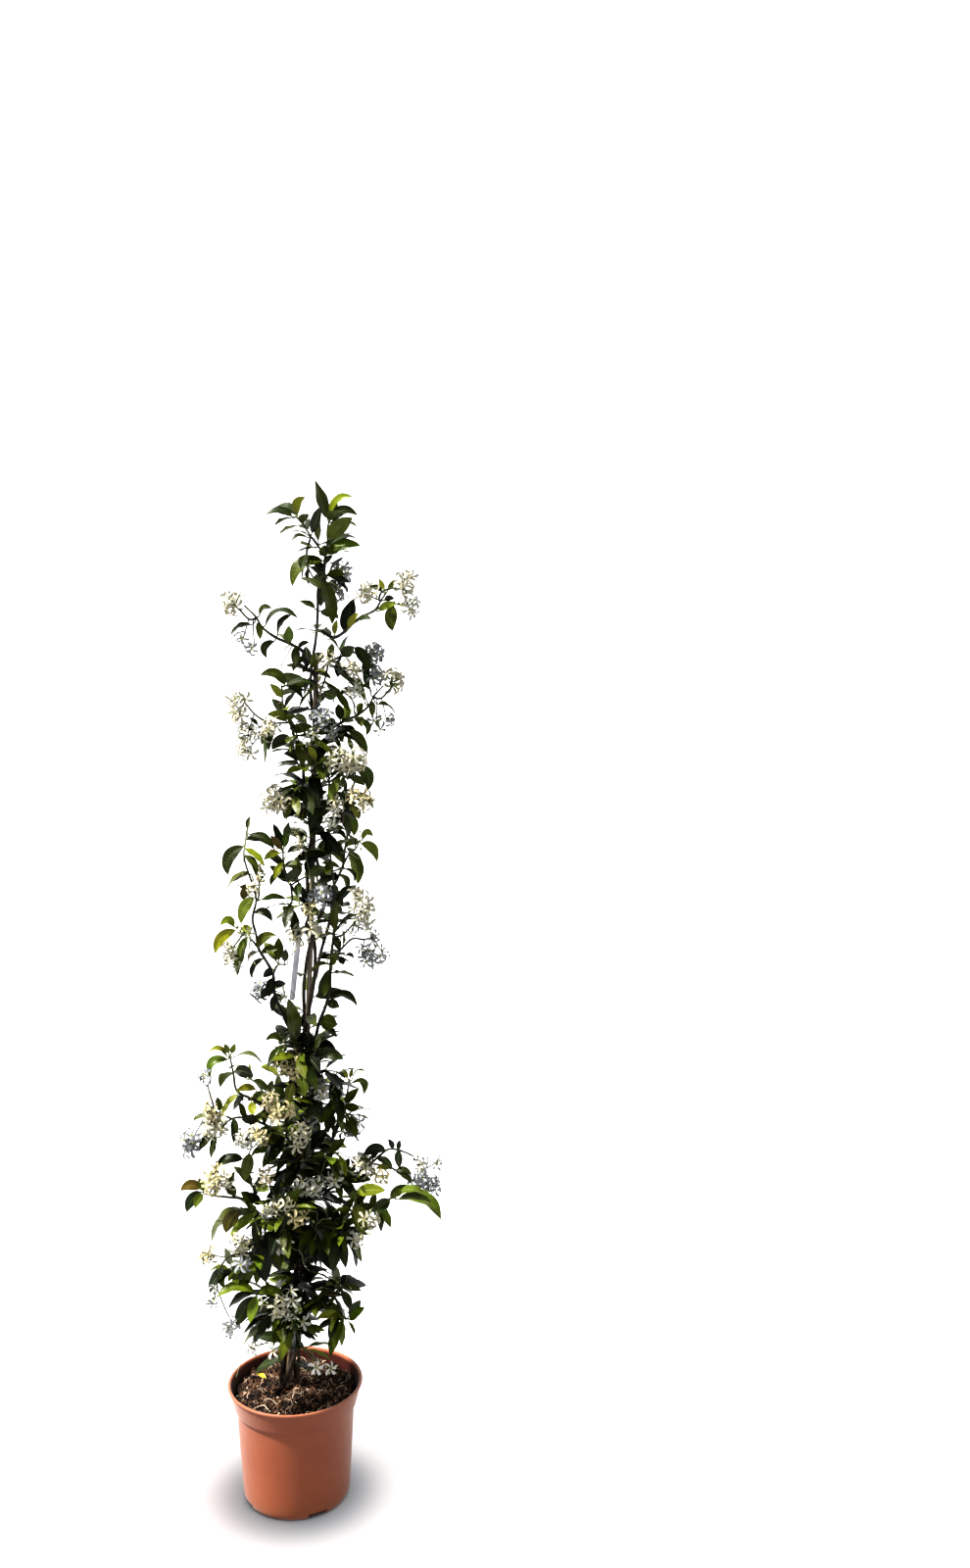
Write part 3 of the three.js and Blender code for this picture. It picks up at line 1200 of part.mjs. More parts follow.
// A closed band round the cane and the stems that lie against it, and the band's inner radius.
function bandRound(height, width) {
  const centre = caneCentre(height);
  const slab = wasm.Manifold.cube([80, 80, width], true).translate([centre.x, centre.y, centre.z]);
  const reach = [cane, ...vineSolids.values()].map((solid) => {
    const { vertProperties } = solid.intersect(slab).getMesh();
    let most = 0;
    for (let i = 0; i < vertProperties.length; i += 3) {
      most = Math.max(most, Math.hypot(vertProperties[i] - centre.x, vertProperties[i + 1] - centre.y));
    }
    return most;
  });
  const inside = (Math.max(...reach) + GAP) / Math.cos(Math.PI / TIE_SEGMENTS);
  const profile = [
    [inside, -width / 2],
    [inside + TIE_THICK, -width / 2],
    [inside + TIE_THICK, width / 2],
    [inside, width / 2],
    [inside, -width / 2],
  ].map(([radius, z]) => new THREE.Vector2(radius, z));
  const band = new THREE.LatheGeometry(profile, TIE_SEGMENTS);
  band.rotateX(Math.PI / 2);
  band.translate(centre.x, centre.y, centre.z);
  return { solid: solidOf(band), centre, inside };
}

// A strip hanging from a loop round the cane.
function labelSolid() {
  const loop = bandRound(LABEL_LOOP_HEIGHT, LABEL_LOOP_WIDTH);
  const head = loop.centre.clone().add(new THREE.Vector3(-loop.inside - LABEL_THICK / 2, 0, 0));
  const foot = at(LABEL_FOOT);
  const strip = new THREE.BoxGeometry(LABEL_WIDTH, LABEL_THICK, head.distanceTo(foot));
  strip.rotateY(Math.atan2(head.x - foot.x, head.z - foot.z));
  const middle = foot.clone().add(head).multiplyScalar(0.5);
  strip.translate(middle.x, middle.y, middle.z);
  return loop.solid.add(solidOf(strip));
}

// ---- Growing the plant ----
const stems = MAIN_STEMS.map((stem) => ({ ...stem, points: vinePoints(stem) }));
for (const stem of stems) lines.set(stem.name, [stem]);

const vineSolids = new Map(stems.map((stem) => [stem.name, tube(stem.points, stem.foot, stem.tip, 5)]));
const pot = potSolid();
const soil = soilSolid(stems);
const cane = caneSolid();
const ties = TIE_HEIGHTS.map((height) => bandRound(height, TIE_WIDTH).solid);
const label = labelSolid();
grow("pot", pot);
grow("soil", soil);
grow("bamboo_cane", cane);
vineSolids.forEach((solid, name) => grow(name, solid));
ties.forEach((tie, i) => grow(`cane_tie_${i + 1}`, tie));
grow("plant_label", label);

const modelOf = (spec, table) => (spec.like ? table.find(({ name }) => name === spec.like) : spec);

const shoots = SHOOTS.map((spec) => {
  const model = modelOf(spec, SHOOTS);
  const frame = frameOf(spec, model);
  const stem = settleStem(spec, model, frame, stems, SHOOT_RADIUS, SHOOT_SIDES);
  if (!stem) return null;
  const own = [stem];
  for (const row of model.twigs) {
    const twig = settleTwig(spec, row, frame, own);
    if (twig) own.push(twig);
  }
  lines.set(spec.name, own);
  return { spec, model, frame, own };
}).filter(Boolean);

const sprays = SPRAYS.map((spec) => {
  const model = modelOf(spec, SPRAYS);
  const shoot = modelOf(SHOOTS.find(({ name }) => name === spec.on) ?? {}, SHOOTS);
  const frame = frameOf({ ...spec, turnAbout: spec.like && shoot.stem[0] }, model);
  const stem = settleStem(spec, model, frame, lines.get(spec.on) ?? stems, SPRAY_RADIUS, TWIG_SIDES);
  if (!stem) return null;
  const clusters = model.clusters
    .filter(([, , , radius]) => radius >= LEAST_CLUSTER)
    .map(clusterPlan)
    .filter((cluster) => settleStalk(spec, stem, cluster, frame));
  return { spec, frame, clusters };
}).filter(Boolean);

for (const { spec, model, frame, own } of shoots) {
  const samples = own.flatMap(springPoints).map(frame.back);
  for (const row of model.leaves) settleLeaf(spec, row, frame, samples);
}

for (const { spec, frame, clusters } of sprays) {
  for (const cluster of clusters) {
    for (let k = 0; k < flowerCount(cluster.radius); k++) settleFlower(spec, cluster, k, frame);
  }
}

// ---- Inner leaves ----
// Opposite leaves at the joints of the stems near the cane, many where the plant is dense.
function innerLeafPlan(line, i, n, attempt) {
  const { points } = line;
  const root = springPoints(line)[i];
  const tangent = points[Math.min(i + 2, points.length - 1)].clone().sub(points[i]).normalize();
  const across = new THREE.Vector3(0.2, 0.3, 1).cross(tangent).normalize();
  const over = tangent.clone().cross(across);
  const turn = 2 * Math.PI * noise(i + 0.37 * points.length) + (n % 2 ? Math.PI : 0) + 0.5 * attempt;
  const away = across.multiplyScalar(Math.cos(turn)).addScaledVector(over, Math.sin(turn));
  const lean = 0.3 + 0.5 * noise(n + 0.25);
  const way = away.multiplyScalar(Math.cos(lean)).addScaledVector(tangent, Math.sin(lean));
  way.z -= 0.25;
  way.normalize();
  const length = 25 + 17 * noise(n + 0.75);
  const base = root.clone().addScaledVector(way, STALK);
  const tip = base.clone().addScaledVector(way, length);
  tip.z -= 0.12 * length;
  const chord = tip.clone().sub(base);
  const lift = new THREE.Vector3(0, 0, 1).addScaledVector(way, -way.z);
  const upper = lift.clone().addScaledVector(across, 0.8 * (noise(n + 0.1) - 0.5)).normalize();
  const middle = base.clone().add(tip).multiplyScalar(0.5).addScaledVector(lift.normalize(), 0.16 * length);
  return { root, base, middle, tip, upper, half: 0.21 * length, length: chord.length() };
}

const identity = { out: (point) => point.clone() };
const hidesLabel = ({ x, y, z }) => {
  const [left, right, low, high] = LABEL_CLEAR;
  return y < 0 && x > left && x < right && z > low && z < high;
};
const isInner = (point, most) => Math.hypot(point.x - caneCentre(point.z).x, point.y) < most;

function growInnerLeaf(node, line, i, n) {
  for (let attempt = 0; attempt < INNER_TRIES; attempt++) {
    const plan = innerLeafPlan(line, i, n, attempt);
    if (!isInner(plan.tip, INNER_TIP) || plan.tip.z < SOIL_TOP + 12) continue;
    if ([plan.base, plan.middle, plan.tip].some(hidesLabel)) continue;
    if (meets(leafSolid(plan, identity, GUARD, false), otherNodes(node))) continue;
    if (meets(leafSolid(plan, identity, GUARD, true), bladesOf(node))) continue;
    grow(node, leafSolid(plan, identity, 0, false), leafSolid(plan, identity, 0, true));
    return;
  }
}

const shareAt = (table, z) => table.find(([height]) => z < height)[1];

shoots.forEach(({ spec, own }, order) => {
  own.forEach((line, l) => {
    springPoints(line).forEach((root, i) => {
      for (const side of [0, 1]) {
        const n = 2 * (101 * order + 17 * l + i) + side;
        if (noise(n + 0.9) > shareAt(INNER_SHARE, root.z) || !isInner(root, INNER_ROOT)) continue;
        growInnerLeaf(spec.name, line, i, n);
      }
    });
  });
});

stems.forEach((line, order) => {
  springPoints(line).forEach((root, i) => {
    for (const side of [0, 1]) {
      const n = 2 * (3001 + 101 * order + i) + side;
      if (root.z < SOIL_TOP + 30 || noise(n + 0.9) > shareAt(STEM_LEAF_SHARE, root.z)) continue;
      growInnerLeaf(line.name, line, i, n);
    }
  });
});


// ---- The scene graph ----
function joined(node) {
  const pieces = grown.filter((piece) => piece.node === node).map(({ solid }) => solid);
  return pieces.reduce((whole, piece) => whole.add(piece)).simplify(0.02);
}

const plant = new THREE.Group();
plant.add(meshOf("pot", pot, FINISHES.pot));
plant.add(meshOf("soil", soil, FINISHES.soil));
plant.add(meshOf("bamboo_cane", cane, FINISHES.cane));
for (const { name } of stems) plant.add(meshOf(name, joined(name), FINISHES.vine));
ties.forEach((tie, i) => plant.add(meshOf(`cane_tie_${i + 1}`, tie, FINISHES.tie)));
plant.add(meshOf("plant_label", label, FINISHES.label));
for (const { spec } of shoots) plant.add(meshOf(spec.name, joined(spec.name), FINISHES.leafy));
for (const { spec } of sprays) plant.add(meshOf(spec.name, joined(spec.name), FINISHES.flower));

export default plant;
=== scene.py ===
"""Star jasmine twined up a bamboo cane in a 17 cm nursery pot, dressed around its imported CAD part.

The plan below is the one the CAD part grows from. The CAD moves a stem, leaf or flower along the
line of sight where it would meet another, so each piece here looks in its node's own vertices
for the place that the CAD settled on."""

import math

import bpy
import numpy as np
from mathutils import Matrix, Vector, kdtree


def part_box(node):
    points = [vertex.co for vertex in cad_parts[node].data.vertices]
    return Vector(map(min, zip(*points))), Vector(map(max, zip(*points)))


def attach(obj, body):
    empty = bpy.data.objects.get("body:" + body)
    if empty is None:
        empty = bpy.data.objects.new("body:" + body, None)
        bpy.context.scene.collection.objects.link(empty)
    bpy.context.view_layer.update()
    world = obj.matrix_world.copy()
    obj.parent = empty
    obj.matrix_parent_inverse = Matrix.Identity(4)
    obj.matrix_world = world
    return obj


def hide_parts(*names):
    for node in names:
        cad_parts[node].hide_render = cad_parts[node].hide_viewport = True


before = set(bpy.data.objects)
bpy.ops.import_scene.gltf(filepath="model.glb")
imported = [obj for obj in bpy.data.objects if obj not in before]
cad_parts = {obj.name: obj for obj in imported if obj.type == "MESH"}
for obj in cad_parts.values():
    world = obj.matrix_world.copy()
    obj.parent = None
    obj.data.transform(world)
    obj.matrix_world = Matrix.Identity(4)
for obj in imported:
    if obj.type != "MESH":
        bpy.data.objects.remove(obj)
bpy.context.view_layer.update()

MM = 0.001
SEED = 11

# ---- The plan, in millimetres ----
# A point is x z y: x and z are where it shows on the upright plane through the pot's axis, seen
# from EYE, and y is how far behind that plane it lies.
# A shoot is its stem, its twigs and its leaves. A leaf is base x, base z, tip x, tip z, tip y,
# width as seen, tone, arch.
SHOOTS = {
    1: (
        "48 1160 0, 51 1178 -2, 53 1200 -4, 56 1216 -5, 56 1232 -5, 58 1242 -5",
        ["53 1202 -4, 45 1212 -10, 36 1224 -14, 27 1238 -12, 18 1248 -10",
         "36 1224 -14, 31 1205 -16, 31 1190 -16, 40 1172 -12"],
        """58 1243 42 1290 -8 14 o 0, 60 1246 66 1269 14 12 d 0, 60 1248 86 1271 -26 8 y 9, 59 1243 92 1249 6
        12 d 10, 57 1222 86 1246 -28 19 g 2, 55 1203 95 1213 -16 14 g 6, 58 1212 90 1222 24 10 d 7, 53
        1193 62 1201 -20 6 d 1, 52 1176 76 1178 -14 9 o 3, 50 1195 13 1165 -12 13 o 13, 50 1177 37 1189 16
        8 d 1, 50 1172 60 1120 -20 16 o 2, 36 1224 48 1259 -24 12 k 0, 34 1225 13 1219 -22 4 d 4, 19 1249
        30 1270 -20 11 y 6, 18 1247 -17 1250 -12 8 d 6, 19 1249 -8 1256 8 8 d 7""",
    ),
    2: (
        """44 1106 -4, 62 1104 -16, 75 1111 -20, 86 1122 -22, 96 1129 -24, 112 1137 -26, 119 1148 -27, 126
        1158 -28""",
        ["112 1137 -26, 125 1143 -28, 136 1147 -30"],
        """136 1146 133 1112 -34 15 o 3, 117 1136 138 1144 -40 9 y 3, 88 1123 107 1126 -36 6 d 3, 74 1112 86
        1150 2 17 k 0, 64 1105 66 1125 -30 7 y 1, 80 1116 92 1133 -32 8 y 2, 120 1150 135 1150 -14 7 d 2,
        124 1160 105 1164 -30 6 d 3, 126 1160 117 1174 -24 6 y 0, 127 1160 136 1173 -34 6 y 0, 136 1148
        145 1140 -28 6 o 2""",
    ),
    3: (
        "37 1068 -6, 25 1086 -16, 12 1095 -20, -8 1104 -24, -25 1117 -26, -31 1128 -26, -45 1142 -24",
        [],
        """-30 1129 -12 1139 -34 6 d 6, -24 1116 19 1127 -34 6 d 13, -7 1106 11 1131 -30 6 d 5, -30 1121 -27
        1102 -34 8 o 1, -38 1119 -62 1107 -20 5 d 5, -8 1103 -19 1079 -30 9 d 8, 7 1098 8 1118 -34 12 g 0,
        15 1092 14 1069 -32 11 d 1, 19 1092 32 1098 -28 6 d 2, 27 1080 12 1063 -18 8 d 3""",
    ),
    4: (
        "36 1052 -4, 38 1058 -14, 55 1074 -16, 68 1080 -14, 85 1086 -8, 97 1080 -4",
        ["55 1074 -10, 50 1052 -20, 44 1037 -22"],
        """56 1078 60 1097 -22 9 o 0, 68 1081 86 1093 -26 14 d 0, 87 1092 104 1065 -16 14 d 3, 98 1078 103
        1041 2 9 d 0, 43 1036 65 1043 -28 13 d -6, 70 1079 66 1056 -22 10 k 0""",
    ),
    5: (
        """27 898 -8, 23 928 -16, 22 950 -20, 17 966 -24, 12 985 -26, 7 1001 -27, 0 1017 -27, -2 1046 -26""",
        ["22 944 -19, 32 942 -26, 40 952 -30",
         "8 998 -27, -12 1000 -32, -30 995 -34"],
        """2 1047 -28 1058 -32 12 o 9, -2 1032 -16 1048 -36 9 y 1, 3 1046 36 1048 -34 7 d 5, 3 1046 23 1030
        -22 7 d 4, 4 1012 -14 1030 -18 11 d 0, 12 1008 28 1000 -38 9 d 3, 10 990 35 994 -36 12 o 3, 3 1003
        -20 1011 -42 11 g 4, 9 984 -15 968 -34 14 d 4, 21 955 -1 963 -34 12 d 4, 23 922 -20 933 -26 6 k
        10, 40 953 29 973 -38 9 y 1, 20 944 2 939 -30 8 y 3, 42 952 56 956 -36 7 y 2, 38 955 54 968 -24 6
        d 2, -29 996 -42 1007 -36 5 d 1, -30 994 -50 990 -40 6 o 2""",
    ),
    6: (
        "35 866 -6, 45 885 -16, 52 905 -22, 54 928 -26, 52 944 -26",
        ["52 905 -22, 64 897 -28, 73 891 -30",
         "54 928 -26, 66 936 -30, 77 935 -32"],
        """51 934 52 953 -36 12 k 0, 78 935 97 924 -36 10 o 3, 72 914 76 894 -40 12 d 0, 73 890 75 862 -34 8
        d 2, 50 893 30 868 -34 16 d 5, 44 884 26 897 -26 12 d 3, 56 935 70 946 -44 6 d 1, 66 896 84 880
        -22 6 k 4""",
    ),
    7: (
        """27 598 -4, 37 625 -8, 46 648 -10, 51 668 -10, 52 690 -10, 54 715 -12, 57 740 -14, 59 775 -14, 57
        810 -12, 54 840 -12, 52 868 -10""",
        ["57 742 -14, 70 756 -20, 83 759 -22",
         "54 711 -12, 62 713 -16, 69 715 -18"],
        """52 870 29 864 -20 13 d 4, 53 868 73 857 -14 6 d 6, 54 856 52 838 -26 11 d 1, 55 850 70 840 -28 9 d
        4, 54 842 10 829 -24 14 d 5, 57 806 60 817 10 10 k 0, 57 808 36 803 8 10 k 2, 58 780 52 802 -28 10
        k 0, 57 738 62 781 -30 12 o 0, 66 754 86 763 -32 6 d 2, 56 736 63 718 -22 10 d 1, 55 700 60 717
        -24 8 o 0, 62 712 68 700 -26 9 k 1, 69 715 81 708 -18 5 k 3, 51 694 36 657 -20 14 d -2, 51 680 44
        660 -30 9 o 1, 52 660 85 647 -16 10 d 8, 48 652 63 646 -28 12 d 1, 40 628 60 623 -24 20 o 1, 53
        694 64 690 -6 5 k 1, 53 700 28 690 -22 5 o 5""",
    ),
    8: (
        """10 596 -8, 2 614 -16, -5 630 -20, -14 652 -24, -18 666 -26, -19 688 -28, -28 706 -30, -36 720 -32,
        -39 738 -34, -43 758 -34, -38 782 -32, -42 800 -30, -52 836 -28, -50 853 -28, -48 868 -26""",
        ["-37 722 -32, -46 733 -36, -56 739 -38, -62 749 -40",
         "-19 692 -28, -12 700 -34, -3 700 -36"],
        """-50 853 -72 813 -38 15 d 9, -48 866 -15 845 -34 9 d 6, -48 858 -20 849 -20 9 d 5, -50 846 -27 824
        -40 8 y 3, -52 838 -38 813 -46 9 o 5, -49 867 -43 886 -30 6 d 1, -46 815 -74 794 -26 7 o 6, -41
        785 -57 752 -46 14 g 5, -40 766 -19 755 -44 10 d 6, -62 750 -83 750 -46 10 y 8, -62 748 -90 714
        -50 13 y 7, -60 750 -47 736 -48 12 y 4, -50 735 -63 686 -50 12 o 3, -37 722 -14 737 -46 12 o 6,
        -33 716 -13 719 -46 9 o 2, -31 708 -45 682 -44 7 d 5, -36 718 -48 700 -26 4 k 5, -41 792 -58 798
        -38 10 b 2, -44 803 -54 782 -24 12 b 3, -18 694 -31 684 -36 10 k 1, -19 688 -25 659 -42 13 k 0,
        -18 672 -35 656 -34 10 k 2, -18 676 -3 676 -36 9 k 0, -17 664 -21 640 -36 8 k 0, -2 701 -3 720 -42
        9 d 0""",
    ),
    9: (
        "14 782 -6, 5 800 -20, -3 822 -28, -4 844 -32",
        ["6 798 -20, 14 806 -28, 26 812 -30",
         "11 788 -14, 6 780 -22, 2 776 -26"],
        """-4 844 -19 862 -42 9 b 1, -5 846 -15 877 -24 9 k 0, -3 845 4 879 -38 9 d 0, -4 844 -27 832 -44 9 y
        3, -4 828 -16 808 -40 8 y 2, -2 820 -20 800 -34 7 o 3, 2 806 16 821 -42 14 d 0, 26 812 48 822 -38
        12 d 2, 18 808 12 836 -38 12 o 0, 2 776 -4 768 -28 7 y 1""",
    ),
    10: (
        "20 588 -8, 24 590 -22, 32 588 -30",
        ["24 590 -22, 12 594 -26, 2 600 -28, -5 602 -28"],
        """10 596 -1 657 -42 16 o 0, 22 592 26 614 -44 16 k 0, 26 589 33 570 -42 15 k 0, 34 586 67 579 -38 15
        d 3, 35 589 38 613 -30 8 p 0, -7 602 -30 603 -34 9 o 7, -4 602 -20 614 -20 4 k 2""",
    ),
    11: (
        "30 556 -4, 42 564 -6, 52 558 -8, 57 548 -8, 60 532 -8, 65 518 -8",
        ["60 536 -8, 54 524 -14, 48 520 -16"],
        """66 517 86 541 -14 11 o 0, 66 517 86 518 -20 11 o -2, 47 519 40 500 -24 12 k 0, 56 528 50 508 -28
        12 d 1, 42 564 34 545 -18 9 k 0""",
    ),
    12: (
        "12 496 -8, -20 514 -34, -50 528 -46, -67 538 -48, -71 560 -48, -75 584 -48",
        [],
        """-75 586 -101 589 -54 6 y 7, -77 584 -100 555 -56 10 g 11, -75 586 -81 599 -50 7 y 0, -74 586 -68
        599 -52 7 y 0, -74 585 -34 572 -54 5 o 9, -69 564 -46 556 -56 15 k 3, -26 534 -22 552 -48 9 o 0,
        -44 540 -68 537 -58 9 y 4, -66 533 -86 497 -60 7 y 6, -50 527 -47 506 -62 11 y 0, -30 518 -33 494
        -52 9 o 1, -58 532 -72 512 -36 8 k 2""",
    ),
    13: (
        "8 466 -8, -15 484 -42, -42 498 -58, -70 503 -64, -95 485 -62",
        ["-10 478 -34, -6 510 -50, 4 546 -54",
         "-70 503 -64, -88 508 -66, -104 508 -66"],
        """-104 508 -123 499 -68 5 o 2, -98 482 -117 459 -64 10 d 2, -96 482 -102 450 -74 8 d 0, -72 502 -73
        470 -76 10 d 2, -42 498 -62 500 -74 12 k 2, -16 486 -26 462 -62 22 k 0, -20 488 -44 480 -46 12 d
        2, 4 548 -2 522 -64 13 o 2, -6 512 12 500 -66 11 d 2, -5 505 -28 502 -66 10 o 3, 2 540 18 530 -62
        8 o 2, -84 506 -92 530 -72 9 o 0, -56 502 -66 524 -72 8 o 0""",
    ),
    14: (
        "4 374 -8, -28 388 -46, -60 396 -64, -95 400 -68, -112 403 -66",
        ["-45 392 -58, -52 420 -68, -57 452 -70",
         "-72 398 -66, -80 406 -72, -88 416 -76"],
        """-60 454 -98 436 -72 12 d 6, -53 456 -60 420 -80 15 o 0, -115 410 -141 407 -70 13 b 6, -115 405
        -134 379 -76 14 d 4, -113 402 -123 384 -86 10 g 2, -112 404 -118 424 -72 8 y 0, -88 416 -72 400
        -82 12 o 2, -48 400 -40 426 -60 8 k 0, -40 390 -58 404 -76 11 k 0, -30 388 -22 410 -66 12 k 0, -20
        386 -10 432 -44 16 k 0""",
    ),
    15: (
        "4 346 -8, -25 362 -46, -46 376 -66, -66 385 -70",
        ["-25 362 -46, -40 335 -62, -60 310 -70, -80 304 -72"],
        """-68 386 -85 351 -76 17 b 4, -46 377 -80 347 -84 11 g 2, -66 382 -104 336 -66 9 o 9, -44 372 -47
        334 -78 13 d 0, -26 366 -4 376 -64 18 d 0, -34 350 -24 322 -76 16 k 0, -42 334 -36 285 -78 22 k 0,
        -38 338 -18 300 -58 16 k 3, -80 306 -87 331 -78 9 p 0, -80 304 -107 299 -74 5 y 4, -78 300 -107
        270 -66 14 k 8, -60 310 -48 300 -82 9 y 0""",
    ),
    16: (
        "-4 254 -8, -25 266 -48, -48 270 -72",
        ["-18 262 -36, -22 246 -50, -30 234 -58"],
        """-51 272 -98 265 -84 13 g 10, -46 271 -13 258 -86 13 g 9, -50 268 -74 225 -80 18 d 3, -48 266 -57
        230 -94 13 g 1, -22 244 -53 201 -54 14 d 4, -30 234 -66 200 -66 9 o 4, -30 236 -47 214 -76 12 d 2,
        -52 270 -84 250 -66 9 d 4""",
    ),
    17: (
        """12 392 -6, 34 402 -20, 60 416 -28, 84 430 -30, 100 443 -30, 112 454 -28, 123 462 -26, 140 459 -22,
        155 452 -20""",
        ["34 402 -20, 37 430 -32, 46 452 -36, 60 458 -38",
         "106 448 -29, 118 440 -32, 129 436 -32",
         "20 396 -14, 16 430 -24, 18 462 -34"],
        """123 463 91 452 -34 13 k 6, 108 450 127 437 -42 9 d 3, 128 463 122 475 -30 7 k 1, 134 461 137 474
        -28 6 k 0, 134 460 136 437 -34 10 k 0, 129 437 151 428 -36 8 d 3, 129 435 151 416 -42 8 d 3, 125
        436 106 436 -44 8 y 3, 70 421 100 421 -44 13 o 3, 58 414 79 405 -40 13 o 2, 61 457 68 425 -46 8 y
        2, 84 430 74 449 -36 5 k 0, 18 462 46 488 -46 16 k 0, 18 464 6 492 -50 12 k 0, 17 450 24 478 -60
        12 d 0, 42 446 26 452 -46 12 d 2, 36 424 54 434 -50 11 k 2""",
    ),
    18: (
        "12 344 -6, 35 354 -30, 60 361 -44, 80 366 -48, 100 380 -52, 120 395 -54, 131 398 -54",
        ["30 352 -26, 33 362 -40, 34 364 -46",
         "68 363 -46, 76 380 -54, 80 396 -58"],
        """34 360 50 300 -60 27 k 0, 81 404 118 407 -66 15 y 3, 118 400 149 413 -50 12 d 3, 132 398 188 369
        -62 15 g 15, 134 402 170 400 -50 9 g 8, 128 398 138 409 -66 8 g 0, 124 394 104 374 -64 15 d 3, 110
        384 124 358 -58 10 g 2, 108 382 112 352 -66 9 d 1, 79 394 90 350 -68 20 o 0, 62 362 44 390 -56 14
        k 0, 100 380 122 378 -40 8 d 2, 44 356 28 384 -50 15 k 0""",
    ),
    19: (
        "4 256 -6, 30 265 -34, 50 266 -44, 58 251 -48, 63 238 -48, 69 235 -48",
        ["50 266 -44, 58 278 -40, 55 292 -38"],
        """59 280 73 244 -46 11 d 2, 54 294 68 284 -42 13 k 2, 8 262 34 284 -46 13 k 0, 30 268 4 280 -54 12 k
        2, 50 264 40 252 -58 12 k 1, 70 236 85 261 -52 12 d 0, 70 235 90 251 -62 10 g 0, 62 236 29 236 -60
        11 y 5, 60 236 24 216 -52 7 o 3, 24 262 12 240 -52 10 k 1, 44 268 20 256 -66 9 d 0""",
    ),
}

